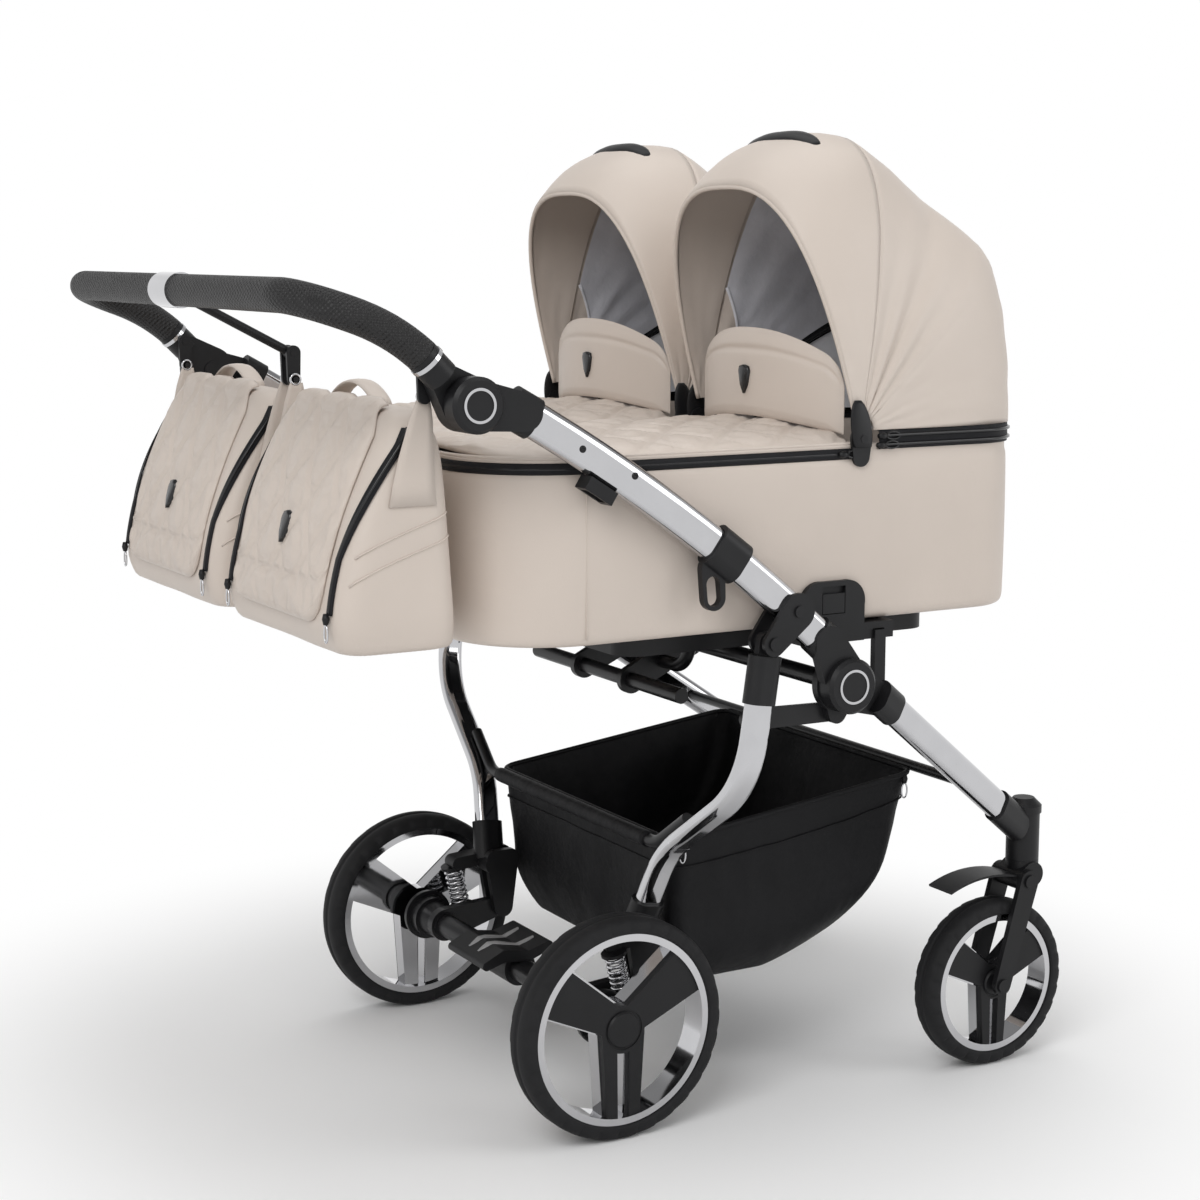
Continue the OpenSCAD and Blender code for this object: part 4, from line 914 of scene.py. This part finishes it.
def springs():
    """Coil springs that ride on the rear axle."""
    lean, wire, mid, length, turns, steps = math.radians(13), 4.0, 23.0, 57.0, 7, 24
    along = Vector((-math.sin(lean), 0, math.cos(lean)))
    across = Vector((math.cos(lean), 0, math.sin(lean)))
    for side, s in SIDES:
        foot = P(-201, s * 230, 154)
        path = []
        for k in range(steps * turns + 1):
            g = 2 * math.pi * k / steps
            up = wire / 2 + 0.3 + (length - wire - 0.6) * k / (steps * turns)
            out = across * math.cos(g) + Vector((0, math.sin(g), 0))
            path.append(foot + (along * up + out * mid / 2) / 1000)
        coil = tube("spring_coil_" + side, path, wire / 2000, steel, "rear_axle", sides=10)
        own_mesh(coil)
        if s < 0:
            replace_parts(coil, "springs")


def tube_screws():
    """Black button heads on the outer faces of the push tubes."""
    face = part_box("upper_tubes")[1][1] * 1000
    for side, s in SIDES:
        for k, (x, z) in enumerate(((-364, 864), (-297, 831))):
            rows = []
            for r, out in ((4.2, -0.6), (4.2, 0.5), (3.4, 1.5), (1.8, 2.1), (1.5, 1.2), (0.1, 1.2)):
                rows.append([P(x + r * math.cos(g), s * (face + out), z + r * math.sin(g))
                             for g in angles(16)])
            grid(f"tube_screw_{side}_{k}", rows, plastic, "upper_frame", around=True,
                 flip=s > 0)


def pedal_inserts():
    """Two grey rubber strips let into the brake pedal."""
    for i, yc in enumerate((-17, 17)):
        rows = []
        for k in range(31):
            q = k / 30
            x = AXLE_X - 52 + 78 * q
            rise = 27 + 8.6
            if q >= 0.35:
                rise = 27 + 8.6 - 6.2 * min((q - 0.35) / 0.35, 1) + 8 * max(q - 0.72, 0) / 0.28
            z = AXLE_Z + rise
            if q < 0.2:
                z -= 9.5 * (1 - q / 0.2)
            w = 6.5 * math.sin(math.pi * min(max(q, 0.02), 0.98)) ** 0.4
            bend = yc + 7 * math.sin(math.pi * (q - 0.5)) * (1 if i else -1) * 0.6
            section = ((-1, -1.5), (-0.8, 0.5), (0, 0.9), (0.8, 0.5), (1, -1.5))
            rows.append([P(x, bend + w * c, z + h) for c, h in section])
        grid(f"pedal_insert_{i}", rows, insert_grey, "brake_pedal")


cover_form, wind_flap, bag_flap = apron_form(), flap_form(), bag_flap_form()
for side, s in SIDES:
    tub(side, s)
    apron(side, s, cover_form)
    flap(side, s, wind_flap)
    hood(side, s)
    mattress(side, s)
    bag(side, s, bag_flap)
basket()
wheels()
pedal_inserts()
springs()
tube_screws()


# Room, light and camera


def background_rays(tree):
    """The Light Path node, and 1 for the rays that show the background: camera, glossy and transmission."""
    ray = tree.nodes.new("ShaderNodeLightPath")
    seen = math_node(tree, "MAXIMUM", ray, "Is Camera Ray", ray, "Is Glossy Ray")
    return ray, math_node(tree, "MAXIMUM", seen, "Value", ray, "Is Transmission Ray")


def smooth_range(tree, from_min, from_max, to_min, to_max):
    """A Map Range node with a smooth step."""
    m = tree.nodes.new("ShaderNodeMapRange")
    m.interpolation_type = "SMOOTHSTEP"
    m.inputs["From Min"].default_value = from_min
    m.inputs["From Max"].default_value = from_max
    m.inputs["To Min"].default_value = to_min
    m.inputs["To Max"].default_value = to_max
    return m


# A pale floor that keeps the shadow near the pram and fades to the white background further out
room_mat = bpy.data.materials.new("pale_floor")
room_mat.use_nodes = True
t = room_mat.node_tree
p = t.nodes["Principled BSDF"]
p.inputs["Base Color"].default_value = (0.93, 0.93, 0.93, 1)
p.inputs["Roughness"].default_value = 0.9
p.inputs["Specular IOR Level"].default_value = 0.1
co = t.nodes.new("ShaderNodeTexCoord")
far = t.nodes.new("ShaderNodeVectorMath")
far.operation = "LENGTH"
link(t, co, "Object", far, 0)
fade = smooth_range(t, 0.55, 1.15, 0.0, 1.0)
link(t, far, "Value", fade, "Value")
ray, shown = background_rays(t)
share = math_node(t, "MULTIPLY", fade, "Result", shown, "Value")
white = t.nodes.new("ShaderNodeEmission")
mix = t.nodes.new("ShaderNodeMixShader")
link(t, share, "Value", mix, "Fac")
link(t, p, "BSDF", mix, 1)
link(t, white, "Emission", mix, 2)
link(t, mix, "Shader", t.nodes["Material Output"], "Surface")
floor = make("floor", [(-30, -30, 0), (30, -30, 0), (30, 30, 0), (-30, 30, 0)], [(0, 1, 2, 3)], room_mat)

# A white background; metal mirrors it white round the horizon and greyer overhead
world = bpy.data.worlds.new("studio")
scene.world = world
world.use_nodes = True
t = world.node_tree
back = t.nodes["Background"]
back.inputs["Color"].default_value = (1, 1, 1, 1)
ray, shown = background_rays(t)
co = t.nodes.new("ShaderNodeTexCoord")
height = t.nodes.new("ShaderNodeSeparateXYZ")
link(t, co, "Generated", height, "Vector")
mirror = smooth_range(t, 0.25, 0.6, 1.0, 0.3)
link(t, height, "Z", mirror, "Value")
direct = math_node(t, "MAXIMUM", ray, "Is Camera Ray", mirror, "Result")
level = t.nodes.new("ShaderNodeMix")
level.inputs["A"].default_value = 0.5
link(t, shown, "Value", level, "Factor")
link(t, direct, "Value", level, "B")
link(t, level, "Result", back, "Strength")


def lamp(name, at, aim, size, power):
    data = bpy.data.lights.new(name, "AREA")
    data.shape = "RECTANGLE"
    data.size, data.size_y = size
    data.energy = power
    obj = bpy.data.objects.new(name, data)
    scene.collection.objects.link(obj)
    obj.location = at
    obj.rotation_euler = (Vector(aim) - Vector(at)).to_track_quat("-Z", "Y").to_euler()


lamp("key", (-2.6, -2.2, 3.2), (0, 0, 0.6), (2.2, 2.2), 72)
lamp("fill", (2.6, -2.6, 1.8), (0, 0, 0.6), (2.0, 2.0), 26)
lamp("top", (0.3, 0.3, 3.6), (0, 0, 0.6), (3.0, 3.0), 34)

# The camera that was fitted to the photograph
PHOTO_WIDTH, FOCAL_PIXELS, SENSOR = 1200, 2251.6, 36
cam = bpy.data.cameras.new("camera")
cam.sensor_width = SENSOR
cam.lens = FOCAL_PIXELS / PHOTO_WIDTH * SENSOR
eye = bpy.data.objects.new("camera", cam)
scene.collection.objects.link(eye)
eye.location = (-1.4385, -2.577, 1.0851)
pan, tilt = 0.519, 0.156
look = Vector((math.sin(pan) * math.cos(tilt), math.cos(pan) * math.cos(tilt), -math.sin(tilt)))
eye.rotation_euler = look.to_track_quat("-Z", "Y").to_euler()
scene.camera = eye
scene.view_settings.view_transform = "Standard"
